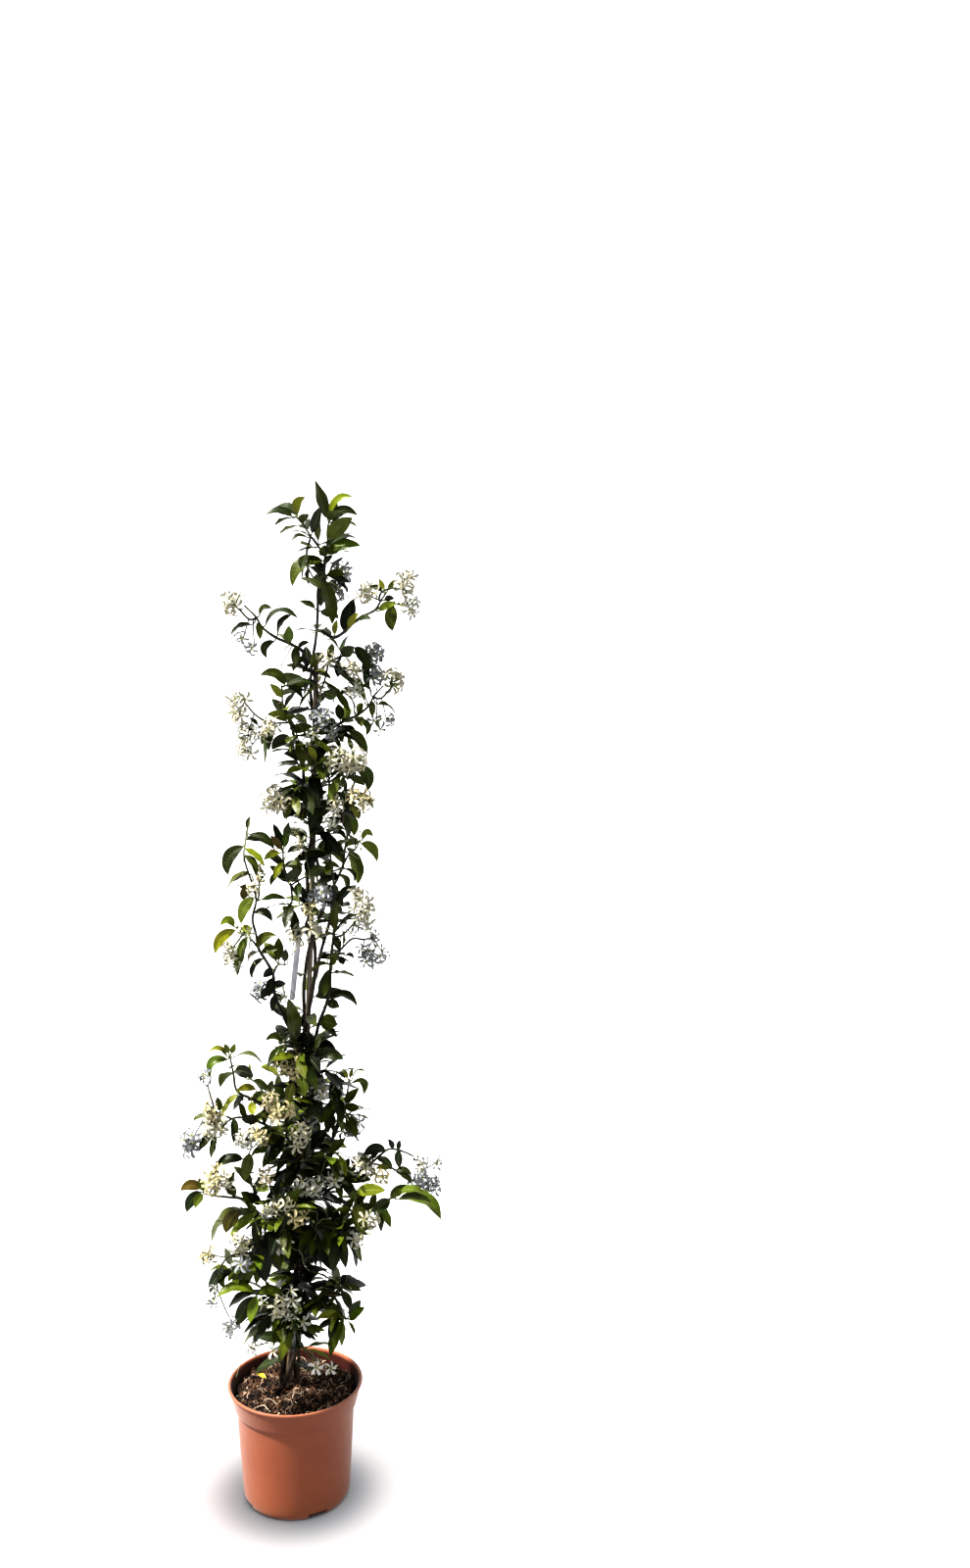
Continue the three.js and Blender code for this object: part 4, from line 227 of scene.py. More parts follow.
# A spray is its carrier, its stem and its clusters. A cluster is x z y radius tone.
SPRAYS = {
    1: (
        "leafy_shoot_01", "52 1184 -2, 60 1178 12, 66 1172 18",
        "73 1184 16 13 s, 72 1163 16 12 s",
    ),
    2: (
        "leafy_shoot_02", "119 1148 -27, 120 1158 -38, 134 1163 -40, 150 1160 -40",
        "101 1160 -40 13 c, 152 1172 -38 12 c, 156 1145 -40 13 w",
    ),
    3: (
        "leafy_shoot_03", "-31 1128 -26, -40 1126 -32, -50 1136 -32, -58 1144 -30",
        "-62 1148 -32 14 c, -39 1096 -34 8 s, -52 1103 -32 6 s",
    ),
    4: (
        "leafy_shoot_04", "62 1078 -11, 64 1073 -25, 84 1064 -26, 100 1066 -4, 110 1072 6",
        "112 1085 8 14 s, 113 1058 8 14 s, 84 1067 -24 11 c, 89 1046 -22 11 w, 54 1082 -26 8 c",
    ),
    5: (
        "leafy_shoot_05", "-14 999 -32, -19 1001 -44, -36 1012 -44, -48 1028 -44",
        "-58 1032 -42 10 c, -58 1013 -42 10 c, -50 988 -44 12 w, -50 969 -44 11 c, -20 992 -50 12 c",
    ),
    6: (
        "leafy_shoot_06", "53 936 -26, 62 948 -36, 70 940 -38, 72 918 -40, 64 898 -42",
        "69 956 -44 14 c, 87 957 -42 14 c, 93 908 -44 13 y, 60 903 -46 10 c, 60 886 -46 9 w",
    ),
    7: (
        "leafy_shoot_05", "14 980 -25, 26 986 -38, 40 997 -40",
        "45 1005 -34 13 s, 57 992 -30 9 s, 34 985 -38 9 w",
    ),
    8: (
        "leafy_shoot_05", "24 918 -13, 10 914 -30, -6 910 -36",
        "-19 909 -38 15 c, -4 900 -40 9 c",
    ),
    9: (
        "leafy_shoot_08", "-39 788 -31, -34 792 -40, -34 804 -42",
        "-42 797 -46 9 c, -31 815 -42 9 y",
    ),
    10: (
        "leafy_shoot_08", "-54 738 -38, -60 732 -50, -68 722 -54",
        "-73 721 -56 9 c, -72 706 -56 9 c, -56 741 -56 7 w",
    ),
    11: (
        "leafy_shoot_08", "-18 668 -26, -26 666 -14, -34 666 -14",
        "-41 669 -16 12 s, -10 662 -14 7 w",
    ),
    12: (
        "vine_stem_2", "24 728 -8, 23 746 -26, 28 772 -34, 32 796 -38, 24 836 -40",
        "12 738 -36 12 c, 27 742 -44 9 c, 41 787 -38 14 s, 30 768 -44 9 y, 18 857 -44 9 c",
    ),
    13: (
        "leafy_shoot_07", "57 726 -13, 68 738 -32, 86 758 -36, 92 768 -36",
        "89 784 -34 13 c, 99 768 -34 12 c, 85 750 -34 7 s, 104 752 -30 7 w",
    ),
    14: (
        "leafy_shoot_07", "60 712 -15, 68 722 -8, 80 733 -6, 95 732 -6, 104 734 -6, 112 724 -6",
        "96 716 -4 8 s, 104 707 -4 9 s, 121 717 -4 7 s, 107 737 -4 7 s",
    ),
    15: (
        "leafy_shoot_10", "12 594 -26, 10 584 -42, 0 574 -48",
        "-10 572 -52 11 y, 6 562 -54 12 y, 8 580 -44 8 y",
    ),
    16: (
        "vine_stem_3", "24 536 -4, 30 536 -26, 38 536 -34",
        "38 537 -38 11 w, 54 536 -34 8 s, 24 542 -36 9 w, 27 508 -44 8 s",
    ),
    17: (
        "leafy_shoot_11", "63 522 -8, 70 508 -2, 78 498 0",
        "83 494 0 9 s, 77 480 0 9 s",
    ),
    18: (
        "leafy_shoot_13", "-96 508 -66, -97 516 -80, -100 530 -78, -104 546 -72",
        """-101 511 -84 12 y, -102 490 -82 13 c, -88 496 -88 11 c, -130 476 -70 11 s, -129 461 -66 9 s, -105
        556 -66 9 s""",
    ),
    19: (
        "leafy_shoot_13", "-24 488 -49, -22 480 -68, -40 474 -78, -56 474 -80",
        "-60 476 -86 12 w, -43 479 -84 11 y, -26 524 -76 10 b, -14 508 -84 12 y, 5 480 -76 14 c",
    ),
    20: (
        "leafy_shoot_14", "-92 400 -68, -98 406 -80, -100 414 -82",
        "-104 416 -88 13 y, -88 424 -84 11 c, -98 430 -78 9 y",
    ),
    21: (
        "leafy_shoot_15", "-18 358 -36, -14 362 -62, -10 378 -74, -20 396 -80",
        "-12 388 -86 10 c, -30 382 -86 10 w, 5 372 -84 10 y, -35 424 -82 8 b, -14 336 -84 9 w",
    ),
    22: (
        "leafy_shoot_15", "-54 317 -68, -64 324 -80, -84 318 -84, -96 296 -84, -98 274 -84",
        "-70 338 -88 13 c, -63 308 -92 9 s, -110 321 -84 10 y, -106 263 -84 9 f, -84 226 -80 10 f",
    ),
    23: (
        "leafy_shoot_16", "-12 260 -26, -10 246 -60, 0 224 -70, 10 196 -72, 24 182 -72",
        """-26 251 -92 13 c, -5 262 -80 9 w, -4 246 -86 9 w, 0 229 -84 9 w, -54 194 -72 9 w, -30 190 -78 10
        w, 24 167 -68 12 w, 45 166 -62 9 w""",
    ),
    24: (
        "leafy_shoot_17", "66 419 -28, 72 430 -40, 88 440 -42, 104 430 -44",
        "94 439 -48 12 c, 114 427 -48 9 y, 55 424 -54 10 w, 28 412 -66 12 w, 8 414 -66 9 w",
    ),
    25: (
        "leafy_shoot_17", "152 453 -20, 162 446 -22, 168 434 -22",
        "165 424 -26 13 s, 179 412 -24 12 s, 165 442 -28 9 w, 184 443 -18 6 s",
    ),
    26: (
        "leafy_shoot_18", "62 361 -44, 66 352 -56, 76 350 -60, 90 360 -62",
        "79 343 -64 11 w, 92 352 -74 7 c, 100 371 -72 9 c",
    ),
}
# A rear shoot or spray repeats a front one, turned about the cane and raised: number: (model, turn, rise).
REAR_SHOOTS = {20: (3, 160, -96), 21: (8, 200, 88), 22: (12, 205, -74), 23: (18, 150, 96), 24: (16, 185, 44)}
REAR_SPRAYS = {27: (3, 20)}

# Thin bare stems with no body of their own in the CAD: points, then radius and tone.
TWIGS = [
    ("6 590 -30, 8 605 -34, 18 613 -34, 26 611 -32", 0.6, "pale"),
    ("0 330 -60, 10 325 -66, 13 310 -68, 20 300 -66", 0.55, "pale"),
    ("20 262 -50, 35 268 -56, 55 267 -58", 0.6, "pink"),
    ("50 507 -20, 55 490 -26, 50 470 -26", 0.7, "dark"),
    ("-70 529 -60, -84 528 -66, -95 523 -66", 0.5, "pale"),
    ("-108 358 -80, -98 367 -80, -90 367 -78", 0.6, "dark"),
    ("16 785 -8, 10 783 -16, 0 780 -22", 0.6, "dark"),
    ("-60 800 -34, -55 805 -36, -52 840 -38, -43 885 -36", 0.6, "pale"),
    ("36 1230 -14, 27 1242 -14, 18 1248 -12", 0.6, "green"),
    ("0 203 -8, 8 199 -26, 17 193 -46, 23 187 -58, 26 179 -64", 0.8, "pale"),
    ("-60 196 -30, -66 184 -34, -72 170 -36, -76 156 -38", 0.6, "pale"),
    ("-48 205 -20, -40 200 -26, -34 192 -30", 0.6, "dark"),
    ("-20 138 -3, -18 165 -4, -12 200 -5, -6 240 -6, 2 300 -6", 3.1, "bark"),
    ("4 138 -4, 4 165 -5, 6 200 -5, 9 250 -5, 10 310 -5", 2.7, "bark"),
    ("-12 138 -9, -10 165 -9, -6 200 -9, -3 240 -8", 2.5, "tan"),
    ("-7 138 8, -6 165 8, -2 200 8, 2 250 7", 3.4, "dark"),
    ("-14 330 -4, -8 380 -9, 2 430 -10, 12 480 -6, 16 540 0", 1.9, "dark"),
    ("26 330 -4, 22 380 -10, 26 440 -10, 30 500 -7, 27 560 0", 1.8, "dark"),
]

# ---- The CAD's own measures ----
EYE = np.array([244.0, -1800.0, 1162.0])
DEPTH_STEPS = [0, -5, 5, -10, 10, -16, 16, -23, 23]
STALK_DETOURS = [0, -7, 7, -14, 14, -22, 22]
START_GAP, HUB_REACH, STALK, EYE_DEPTH = 0.45, 1.5, 5.0, 1.0
SHOOT_RADIUS, SPRAY_RADIUS, TWIG_RADIUS, TIP_RADIUS = 1.7, 1.1, 1.0, 0.7
SHOOT_STEP, TWIG_STEP, SHOOT_SIDES, TWIG_SIDES = 24, 22, 4, 3
LEAF_SHARE, LEAST_LEAF, LEAST_CLUSTER, FLOWER_TRIES = 0.42, 22, 9, 8
INNER_ROOT, INNER_TRIES = 46, 5
INNER_SHARE = [(620, 0.8), (820, 0.35), (980, 0.75), (1300, 0.35)]
STEM_LEAF_SHARE = [(620, 0.5), (820, 0.2), (1000, 0.4), (1300, 0)]
CANE_BOTTOM, CANE_TOP, CANE_RADIUS = 42, 1074, 3.5
STEM_BOTTOM, STEM_STEP, STEM_SLACK = 112, 24, 0.9
SOIL_TOP = 144
TIE_HEIGHTS, TIE_HALF_WIDTH = (566, 1008), 3.5
LABEL_LOOP, LABEL_FOOT = 744, (4, 655, 0)
# A stem winds round the cane. loose says how far from it, in mm, by height.
MAIN_STEMS = {
    "vine_stem_1": dict(
        top=1160, angle=0, pitch=232, foot=3, tip=1.5, loose="112 4, 170 3, 230 0, 1077 0, 1110 -3, 1160 -4"
    ),
    "vine_stem_2": dict(
        top=905, angle=180, pitch=240, foot=3, tip=1.8,
        loose="112 4, 170 3, 230 0, 690 0, 740 4, 785 11, 830 4, 905 0",
    ),
    "vine_stem_3": dict(top=604, angle=10, pitch=236, foot=2.8, tip=2, loose="112 4, 170 3, 230 0, 604 0"),
}

# ---- What only the picture needs ----
SAME_POINT = 6e-5
PLANT_TOP, PLANT_FOOT = 1290, 150
LEAF_ZONES, BLOOM_ZONES, STEM_ZONES = 6, 5, 2
LEAF_THICK, PETAL_THICK, PETALS, TUBE = 0.42, 0.26, 5, 7.5
UPPER_PART, LOWER_PART, ROD_STEP = 620, 400, 4
FILLS, FILL_TRIES, FILL_GAP, FILL_ROOT, FILL_TIP = 720, 14000, 3.2, 206, 212
# Filling leaves within INSIDE mm of the cane take the darker tones: painted shade inside the plant.
FILL_TONES_SHADED_INSIDE, FILL_TONES_OUTSIDE, INSIDE = "kdddo", "kddooogggg", 34
# How the filling leaves spread, up the plant: up to this height, the farthest tip, the share kept.
SPREAD = [
    (230, 60, 0.5), (300, 92, 1.0), (420, 106, 1.0), (520, 100, 0.5), (630, 82, 0.35), (820, 58, 0.13),
    (950, 62, 0.45), (1050, 66, 0.7), (1300, 42, 0.25),
]
TENDRILS, TENDRIL_REACH, TENDRIL_TONES = 330, 85, ("pale", "green", "pink", "pale")
CRUMBS, FIBRES, LONG_FIBRES, CHIPS = 800, 1150, 90, 90
CAMERA_LENS, CAMERA_SENSOR, CAMERA_DIP = 34.17, 36, 7.47
KEY_LIGHT, FILL_LIGHT = (1.0, 0.28, -1.62), (2.2, 2.6, -1.0)


# ---- Reading the plan ----
def rows(text):
    """Rows of numbers and letters from one text, with commas between rows."""
    read = lambda word: float(word) if word.lstrip("-")[0].isdigit() else word
    return [[read(word) for word in row.split()] for row in text.split(",")]


def unit(v):
    return v / np.linalg.norm(v)


def length(v):
    return float(np.linalg.norm(v))


def lerp(a, b, share):
    return a + (b - a) * share


def cane_at(z):
    return np.array([-20 + 0.088 * z - 0.00003 * z * z, 0.0, z])


def at(point, push=0.0):
    x, z, y = point[:3]
    return EYE + (np.array([x, 0.0, z]) - EYE) * (1 + (y + push) / -EYE[1])


def turn_about_z(angle):
    ahead, aside = math.cos(angle), math.sin(angle)
    return np.array([[ahead, -aside, 0], [aside, ahead, 0], [0, 0, 1]])


class Place:
    """Moves a rear copy to its own height and side of the cane."""

    def __init__(self, first=0.0, turn=0.0, rise=0.0):
        self.start, self.end = cane_at(first), cane_at(first + rise)
        self.spin = turn_about_z(math.radians(turn))

    def out(self, point):
        return self.spin @ (point - self.start) + self.end

    def back(self, point):
        return self.spin.T @ (point - self.end) + self.start

    def way(self, direction):
        return self.spin @ direction


def centripetal(x0, x1, x2, x3, t):
    """One span of a centripetal Catmull-Rom curve, from x1 to x2."""
    d0, d1, d2 = (length(b - a) ** 0.5 for a, b in ((x0, x1), (x1, x2), (x2, x3)))
    m1 = ((x1 - x0) / d0 - (x2 - x0) / (d0 + d1) + (x2 - x1) / d1) * d1
    m2 = ((x2 - x1) / d1 - (x3 - x1) / (d1 + d2) + (x3 - x2) / d2) * d1
    return x1 + m1 * t + (3 * (x2 - x1) - 2 * m1 - m2) * t * t + (2 * (x1 - x2) + m1 + m2) * t ** 3


def curve(points, count):
    """The curve through the points, in count equal spans of its parameter."""
    last = len(points) - 1
    result = []
    for i in range(count + 1):
        place = last * i / count
        k = min(int(place), last - 1)
        before = points[k - 1] if k else 2 * points[0] - points[1]
        after = points[k + 2] if k + 2 <= last else 2 * points[last] - points[last - 1]
        result.append(centripetal(before, points[k], points[k + 1], after, place - k))
    return result


def smooth(points, step):
    total = sum(length(b - a) for a, b in zip(points, points[1:]))
    return curve(points, max(len(points) - 1, math.floor(total / step + 0.5)))


def frames(points):
    """Tangent, normal and binormal at each point, turned as little as possible along the way."""
    last = len(points) - 1
    normal = np.array([0.83, 0.55, 0.1])
    result = []
    for i in range(last + 1):
        tangent = unit(points[min(i + 1, last)] - points[max(i - 1, 0)])
        normal = unit(normal - tangent * (normal @ tangent))
        result.append((tangent, normal, np.cross(tangent, normal)))
    return result


def corners(points, foot, tip, sides, rings):
    """The corners that some of a CAD stem's rings have."""
    last = len(points) - 1
    found = []
    around = frames(points)
    for i in rings:
        _, normal, across = around[i]
        radius = lerp(foot, tip, (i % (last + 1)) / last)
        for s in range(sides):
            angle = 2 * math.pi * s / sides
            found.append(points[i] + (normal * math.cos(angle) + across * math.sin(angle)) * radius)
    return found


# ---- What the CAD settled on ----
trees = {}


def tree_of(node):
    """A search tree of the node's vertices."""
    if node not in trees:
        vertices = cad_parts[node].data.vertices
        trees[node] = search_tree([vertex.co for vertex in vertices])
    return trees[node]


def search_tree(points):
    tree = kdtree.KDTree(len(points))
    for i, point in enumerate(points):
        tree.insert(point, i)
    tree.balance()
    return tree


def settled(node, options):
    """The option with the most marks that are vertices of the node, or None if it has none."""
    best, most = None, 0
    for option, marks in options:
        hits = sum(tree_of(node).find(Vector(mark * MM))[2] < SAME_POINT for mark in marks)
        if hits > most:
            best, most = option, hits
    return best


def nearest(points, distance):
    return min(range(len(points)), key=lambda i: distance(points[i]))


def springs(line):
    """The points of a stem that others can spring from, all well inside its ends."""
    points = line["points"]
    return points[1:-1] + [points[-1] - unit(points[-1] - points[-2]) * HUB_REACH]


def vine_at(stem, share):
    z = lerp(STEM_BOTTOM, stem["top"], share)
    table = rows(stem["loose"])
    k = next(i for i, (height, _) in enumerate(table) if height >= z - 1e-9) or 1
    part = min(max((z - table[k - 1][0]) / (table[k][0] - table[k - 1][0]), 0), 1)
    loose = lerp(table[k - 1][1], table[k][1], part * part * (3 - 2 * part))
    away = CANE_RADIUS + STEM_SLACK + lerp(stem["foot"], stem["tip"], share) + loose
    angle = math.radians(stem["angle"] + 360 * (z - stem["top"]) / stem["pitch"])
    return cane_at(z) + np.array([math.cos(angle) * away, math.sin(angle) * away, 0.0])


def vine_line(name):
    stem = MAIN_STEMS[name]
    count = math.floor((stem["top"] - STEM_BOTTOM) / STEM_STEP + 0.5)
    points = [vine_at(stem, i / count) for i in range(count + 1)]
    return dict(points=points, foot=stem["foot"], tip=stem["tip"])


def leave_from(carriers, mark, towards):
    """Where a stem leaves its carrier: the carrier's point and the stem's first two."""
    found = None
    for line in carriers:
        points = line["points"]
        last = len(points) - 1
        k = nearest(points, lambda point: length(point - mark))
        reach = length(points[k] - mark) + 0.5 * length(points[k] - towards)
        if found and found[0] <= reach:
            continue
        tangent = unit(points[min(k + 1, last)] - points[max(k - 1, 0)])
        found = (reach, points[k], tangent, lerp(line["foot"], line["tip"], k / last))
    _, point, tangent, radius = found
    away = towards - point
    away = unit(away - tangent * (away @ tangent))
    start = point + away * (radius + START_GAP)
    return point, [start, start + away * 4]


def stem_line(node, stem, place, carriers, radius, sides):
    """A shoot's or spray's main stem, led by the point of its carrier that it springs from."""
    tries = []
    for push in DEPTH_STEPS:
        route = [place.out(at(row, push * i / (len(stem) - 1))) for i, row in enumerate(stem)]
        origin, start = leave_from(carriers, route[0], route[1])
        points = smooth(start + route[1:], SHOOT_STEP)
        line = dict(points=points, foot=radius, tip=TIP_RADIUS, lead=[origin], controls=start + route[1:])
        tries.append((line, corners(points, radius, TIP_RADIUS, sides, (-1, -2))))
    return settled(node, tries)


def twig_line(node, row, place, own):
    samples = [point for line in own for point in springs(line)]
    mark = place.out(at(row[0]))
    root = samples[nearest(samples, lambda point: length(point - mark))]
    tries = []
    for push in DEPTH_STEPS:
        rest = [place.out(at(point, push * (i + 1) / (len(row) - 1))) for i, point in enumerate(row[1:])]
        points = smooth([root] + rest, TWIG_STEP)
        line = dict(points=points, foot=TWIG_RADIUS, tip=TIP_RADIUS, controls=[root] + rest)
        tries.append((line, corners(points, TWIG_RADIUS, TIP_RADIUS, TWIG_SIDES, (-1, -2))))
    return settled(node, tries)


def leaf_plan(row, samples, push):
    """A leaf that the photo shows, from its row of the plan."""
    base_x, base_z, tip_x, tip_z, tip_y, width, tone, arch = row

    def off(point):
        seen = EYE + (point - EYE) * (-EYE[1] / (point[1] - EYE[1]))
        return math.hypot(seen[0] - base_x, seen[2] - base_z)

    root = samples[nearest(samples, off)]
    tip = at((tip_x, tip_z, tip_y), push)
    base = at((base_x, base_z, root[1] + 0.3 * (tip[1] - root[1])))
    if length(base - root) < STALK:
        base = root + unit(tip - root) * STALK
    chord = tip - base
    rise = unit(np.array([-chord[2], 0.0, chord[0]]))
    rise = -rise if rise[2] < 0 else rise
    middle = (base + tip) / 2 + rise * 2 * arch
    side = unit(np.cross(chord, unit(EYE - middle)))
    facing = unit(np.cross(side, chord))
    full = max(width, LEAF_SHARE * length(chord) * (0.8 if tone == "y" else 1))
    turn = min(1, width / full)
    upper = facing * turn + side * math.sqrt(1 - turn * turn) * (-1 if side[2] < 0 else 1)
    return dict(root=root, base=base, middle=middle, tip=tip, upper=upper, half=full / 2, tone=tone)


def sine_noise(n):
    value = math.sin(n * 12.9898) * 43758.5453
    return value - math.floor(value)


def inner_plan(line, i, n, attempt):
    """A leaf at a joint near the cane."""
    points = line["points"]
    root = springs(line)[i]
    tangent = unit(points[min(i + 2, len(points) - 1)] - points[i])
    across = unit(np.cross((0.2, 0.3, 1), tangent))
    over = np.cross(tangent, across)
    turn = 2 * math.pi * sine_noise(i + 0.37 * len(points)) + (math.pi if n % 2 else 0) + 0.5 * attempt
    away = across * math.cos(turn) + over * math.sin(turn)
    lean = 0.3 + 0.5 * sine_noise(n + 0.25)
    way = unit(away * math.cos(lean) + tangent * math.sin(lean) - np.array([0, 0, 0.25]))
    reach = 25 + 17 * sine_noise(n + 0.75)
    base = root + way * STALK
    tip = base + way * reach - np.array([0, 0, 0.12 * reach])
    lift = np.array([0, 0, 1]) - way * way[2]
    upper = unit(lift + way * 0.8 * (sine_noise(n + 0.1) - 0.5))
    middle = (base + tip) / 2 + unit(lift) * 0.16 * reach
    # Leaves at joints near the cane take mostly dark tones: painted shade inside the plant.
    tone = "ddkdkodog"[int(9 * sine_noise(n + 0.6))]
    return dict(root=root, base=base, middle=middle, tip=tip, upper=upper, half=0.21 * reach, tone=tone)


def inner_leaves(node, line, shares, first, limit, least_z=0):
    """The inner leaves that the CAD has on one stem."""
    found = []
    for i, root in enumerate(springs(line)):
        share = next(part for height, part in shares if root[2] < height)
        for side in (0, 1):
            n = 2 * (first + i) + side
            off = math.hypot(root[0] - cane_at(root[2])[0], root[1])
            if root[2] < least_z or sine_noise(n + 0.9) > share or off >= limit:
                continue
            plans = [inner_plan(line, i, n, attempt) for attempt in range(INNER_TRIES)]
            plan = settled(node, [(option, [option["tip"]]) for option in plans])
            if plan:
                found.append(plan)
    return found


def cluster_plan(x, z, y, radius, tone):
    centre = at((x, z, y))
    outwards = (centre - cane_at(z)) * (1, 1, 0)
    opening = unit(np.array([0, -0.7, 0.35]) + unit(outwards) * 0.8)
    hub = centre - opening * (0.55 * radius + 3)
    return dict(centre=centre, opening=opening, hub=hub, radius=radius, tone=tone)


def tilted(axis, spin, tilt):
    """The axis, leant over by tilt towards the side that spin gives."""
    across = unit(np.cross((0, 0, 1), axis))
    side = across * math.cos(spin) + np.cross(axis, across) * math.sin(spin)
    return axis * math.cos(tilt) + side * math.sin(tilt)


def flower_plan(cluster, k, attempt):
    tilt = 0.25
    if k + attempt:
        tilt = 0.75 + 0.35 * sine_noise(k + 7 * attempt + cluster["centre"][2])
    facing = tilted(cluster["opening"], 2.4 * k + 1.3 * attempt + cluster["centre"][0], tilt)
    return facing, cluster["hub"] + facing * max(9, cluster["radius"] + 3)


# ---- Meshes ----
def link(obj):
    bpy.context.scene.collection.objects.link(obj)
    return obj


def new_object(name, points, faces, material=None):
    """An object of a new mesh, whose points are in mm."""
    mesh = bpy.data.meshes.new(name)
    mesh.from_pydata((np.asarray(points) * MM).tolist(), [], faces)
    if material:
        mesh.materials.append(material)
    return link(bpy.data.objects.new(name, mesh))


def stand_for(obj, nodes):
    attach(obj, "root")
    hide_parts(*nodes)


class Skin:
    """Gathers the vertices, in mm, and the faces of the piece that replaces some nodes."""

    def __init__(self, *nodes):
        self.nodes = list(nodes)
        self.points, self.faces, self.looks, self.blade, self.tone = [], [], [], [], []
        self.count = 0

    def add(self, points, faces, look=0, blade=(0, 0, 0), tone=(1, 1, 1)):
        """faces is a list of blocks. look is one for all or one a block, and blade and tone one a point."""
        looks = look if isinstance(look, tuple) else (look,) * len(faces)
        for block, slot in zip(faces, looks):
            block = np.asarray(block) + self.count
            self.faces.extend(block.tolist())
            self.looks.extend([slot] * len(block))
        self.points.append(points)
        self.blade.append(np.broadcast_to(np.asarray(blade, float), (len(points), 3)))
        self.tone.append(np.broadcast_to(np.asarray(tone, float), (len(points), 3)))
        self.count += len(points)

    def piece(self, name, materials, slot, sharp=60):
        obj = new_object(name, np.concatenate(self.points), self.faces)
        mesh = obj.data
        blade = mesh.attributes.new("blade", "FLOAT_VECTOR", "POINT")
        blade.data.foreach_set("vector", np.concatenate(self.blade).ravel())
        tone = mesh.attributes.new("tone", "FLOAT_COLOR", "POINT")
        rgba = np.ones((self.count, 4))
        rgba[:, :3] = np.concatenate(self.tone)
        tone.data.foreach_set("color", rgba.ravel())
        for material in materials:
            mesh.materials.append(material)
        mesh.polygons.foreach_set("material_index", self.looks)
        mesh.shade_smooth()
        mesh.set_sharp_from_angle(angle=math.radians(sharp))
        stand_for(obj, self.nodes)


def grid_faces(index, flip=False):
    """The quads of a grid of vertex numbers."""
    a, b, c, d = index[:-1, :-1], index[1:, :-1], index[1:, 1:], index[:-1, 1:]
    quads = np.stack([a, d, c, b] if flip else [a, b, c, d], axis=-1)
    return quads.reshape(-1, 4)


def loops(n, m, both=False):
    """The vertex numbers of n closed rings of m points. With both, the last ring joins the first."""
    index = np.arange(n * m).reshape(n, m)
    index = np.concatenate([index, index[:, :1]], axis=1)
    return np.concatenate([index, index[:1]], axis=0) if both else index


def tube_faces(n, m, flip=True):
    """The faces of n rings of m points, and of fans to the two end points that follow them."""
    index = loops(n, m)
    fans = []
    for ring, centre, back in ((index[0], n * m, flip), (index[-1], n * m + 1, not flip)):
        starts, ends = (ring[1:], ring[:-1]) if back else (ring[:-1], ring[1:])
        fans += [[centre, int(a), int(b)] for a, b in zip(starts, ends)]
    return [grid_faces(index, flip), fans]


def sheet_axes(n, m, start=0):
    """A sheet's own axes: from start to 1 along it, in a column, and from -1 to 1 across it, in a row."""
    return np.linspace(start, 1, n)[:, None], np.linspace(-1, 1, m)[None, :]


def bow(a, b, c, u):
    """The curve from a to c that b draws to its side, at u."""
    return (1 - u) ** 2 * a + 2 * u * (1 - u) * b + u * u * c


def spread(spine, *shifts):
    """A grid of points: those of a spine, each shifted along some directions by some amounts."""
    grid = spine[:, None, :]
    for way, amount in shifts:
        grid = grid + way.reshape(-1, 1, 3) * amount[..., None]
    return grid


def round_axis(centre, angle, reach, rise):
    """Points round the upright axis through centre."""
    return centre + np.stack(np.broadcast_arrays(reach * np.cos(angle), reach * np.sin(angle), rise), axis=-1)


def closed_sheet(skin, grid, outwards, thick, looks=(0, 0), blade=(0, 0, 0), tone=(1, 1, 1)):
    """A thin closed sheet whose top, the grid, looks outwards. Its underside meets it along the border."""
    n, m = grid.shape[:2]
    normals = np.cross(np.gradient(grid, axis=0), np.gradient(grid, axis=1))
    normals = normals / np.maximum(np.linalg.norm(normals, axis=-1, keepdims=True), 1e-9)
    blade = np.stack([np.broadcast_to(part, (n, m)) for part in blade], axis=-1)
    if normals[n // 2, m // 2] @ outwards < 0:
        grid, normals, blade = grid[:, ::-1], -normals[:, ::-1], blade[:, ::-1]
    upper = np.arange(n * m).reshape(n, m)
    lower = upper.copy()
    lower[1:-1, 1:-1] = n * m + np.arange((n - 2) * (m - 2)).reshape(n - 2, m - 2)
    below = grid[1:-1, 1:-1] - normals[1:-1, 1:-1] * thick
    points, blade = (
        np.concatenate([over.reshape(-1, 3), under.reshape(-1, 3)])
        for over, under in ((grid, below), (blade, blade[1:-1, 1:-1]))
    )
    skin.add(points, [grid_faces(upper), grid_faces(lower, True)], looks, blade, tone)


def rod(skin, points, radii, sides, tone, look=0, seed=0.0, blunt=0.6):
    """A round rod along the points, with a rounded end at each side."""
    points, radii = [np.asarray(p, float) for p in points], list(radii)
    first, last = unit(points[0] - points[1]), unit(points[-1] - points[-2])
    turns = frames(points)
    turns = [turns[0]] + turns + [turns[-1]]
    line = [points[0] + first * radii[0] * 0.45] + points + [points[-1] + last * radii[-1] * 0.45]
    radii = [radii[0] * blunt] + radii + [radii[-1] * blunt]
    angles = 2 * np.pi * np.arange(sides) / sides
    circle = np.stack([np.cos(angles), np.sin(angles)], axis=-1)
    rings = np.array(
        [p + circle @ np.array([normal, across]) * r for p, r, (_, normal, across) in zip(line, radii, turns)]
    )
    n = len(rings)
    tips = np.array([line[0] + first * radii[0] * 0.3, line[-1] + last * radii[-1] * 0.3])
    along = np.concatenate([[0], np.cumsum([length(b - a) for a, b in zip(line, line[1:])])])
    blade = np.zeros((n * sides + 2, 3))
    blade[:-2, 0] = np.tile(np.arange(sides) / sides, n)
    blade[:-2, 1] = np.repeat(along, sides)
    blade[-1, 1] = along[-1]
    blade[:, 2] = seed
    tone = np.asarray(tone, float)
    if tone.ndim == 2:
        tone = np.concatenate([tone[:1], tone, tone[-1:]])
        tone = np.concatenate([np.repeat(tone, sides, axis=0), tone[:1], tone[-1:]])
    skin.add(np.concatenate([rings.reshape(-1, 3), tips]), tube_faces(n, sides), look, blade, tone)


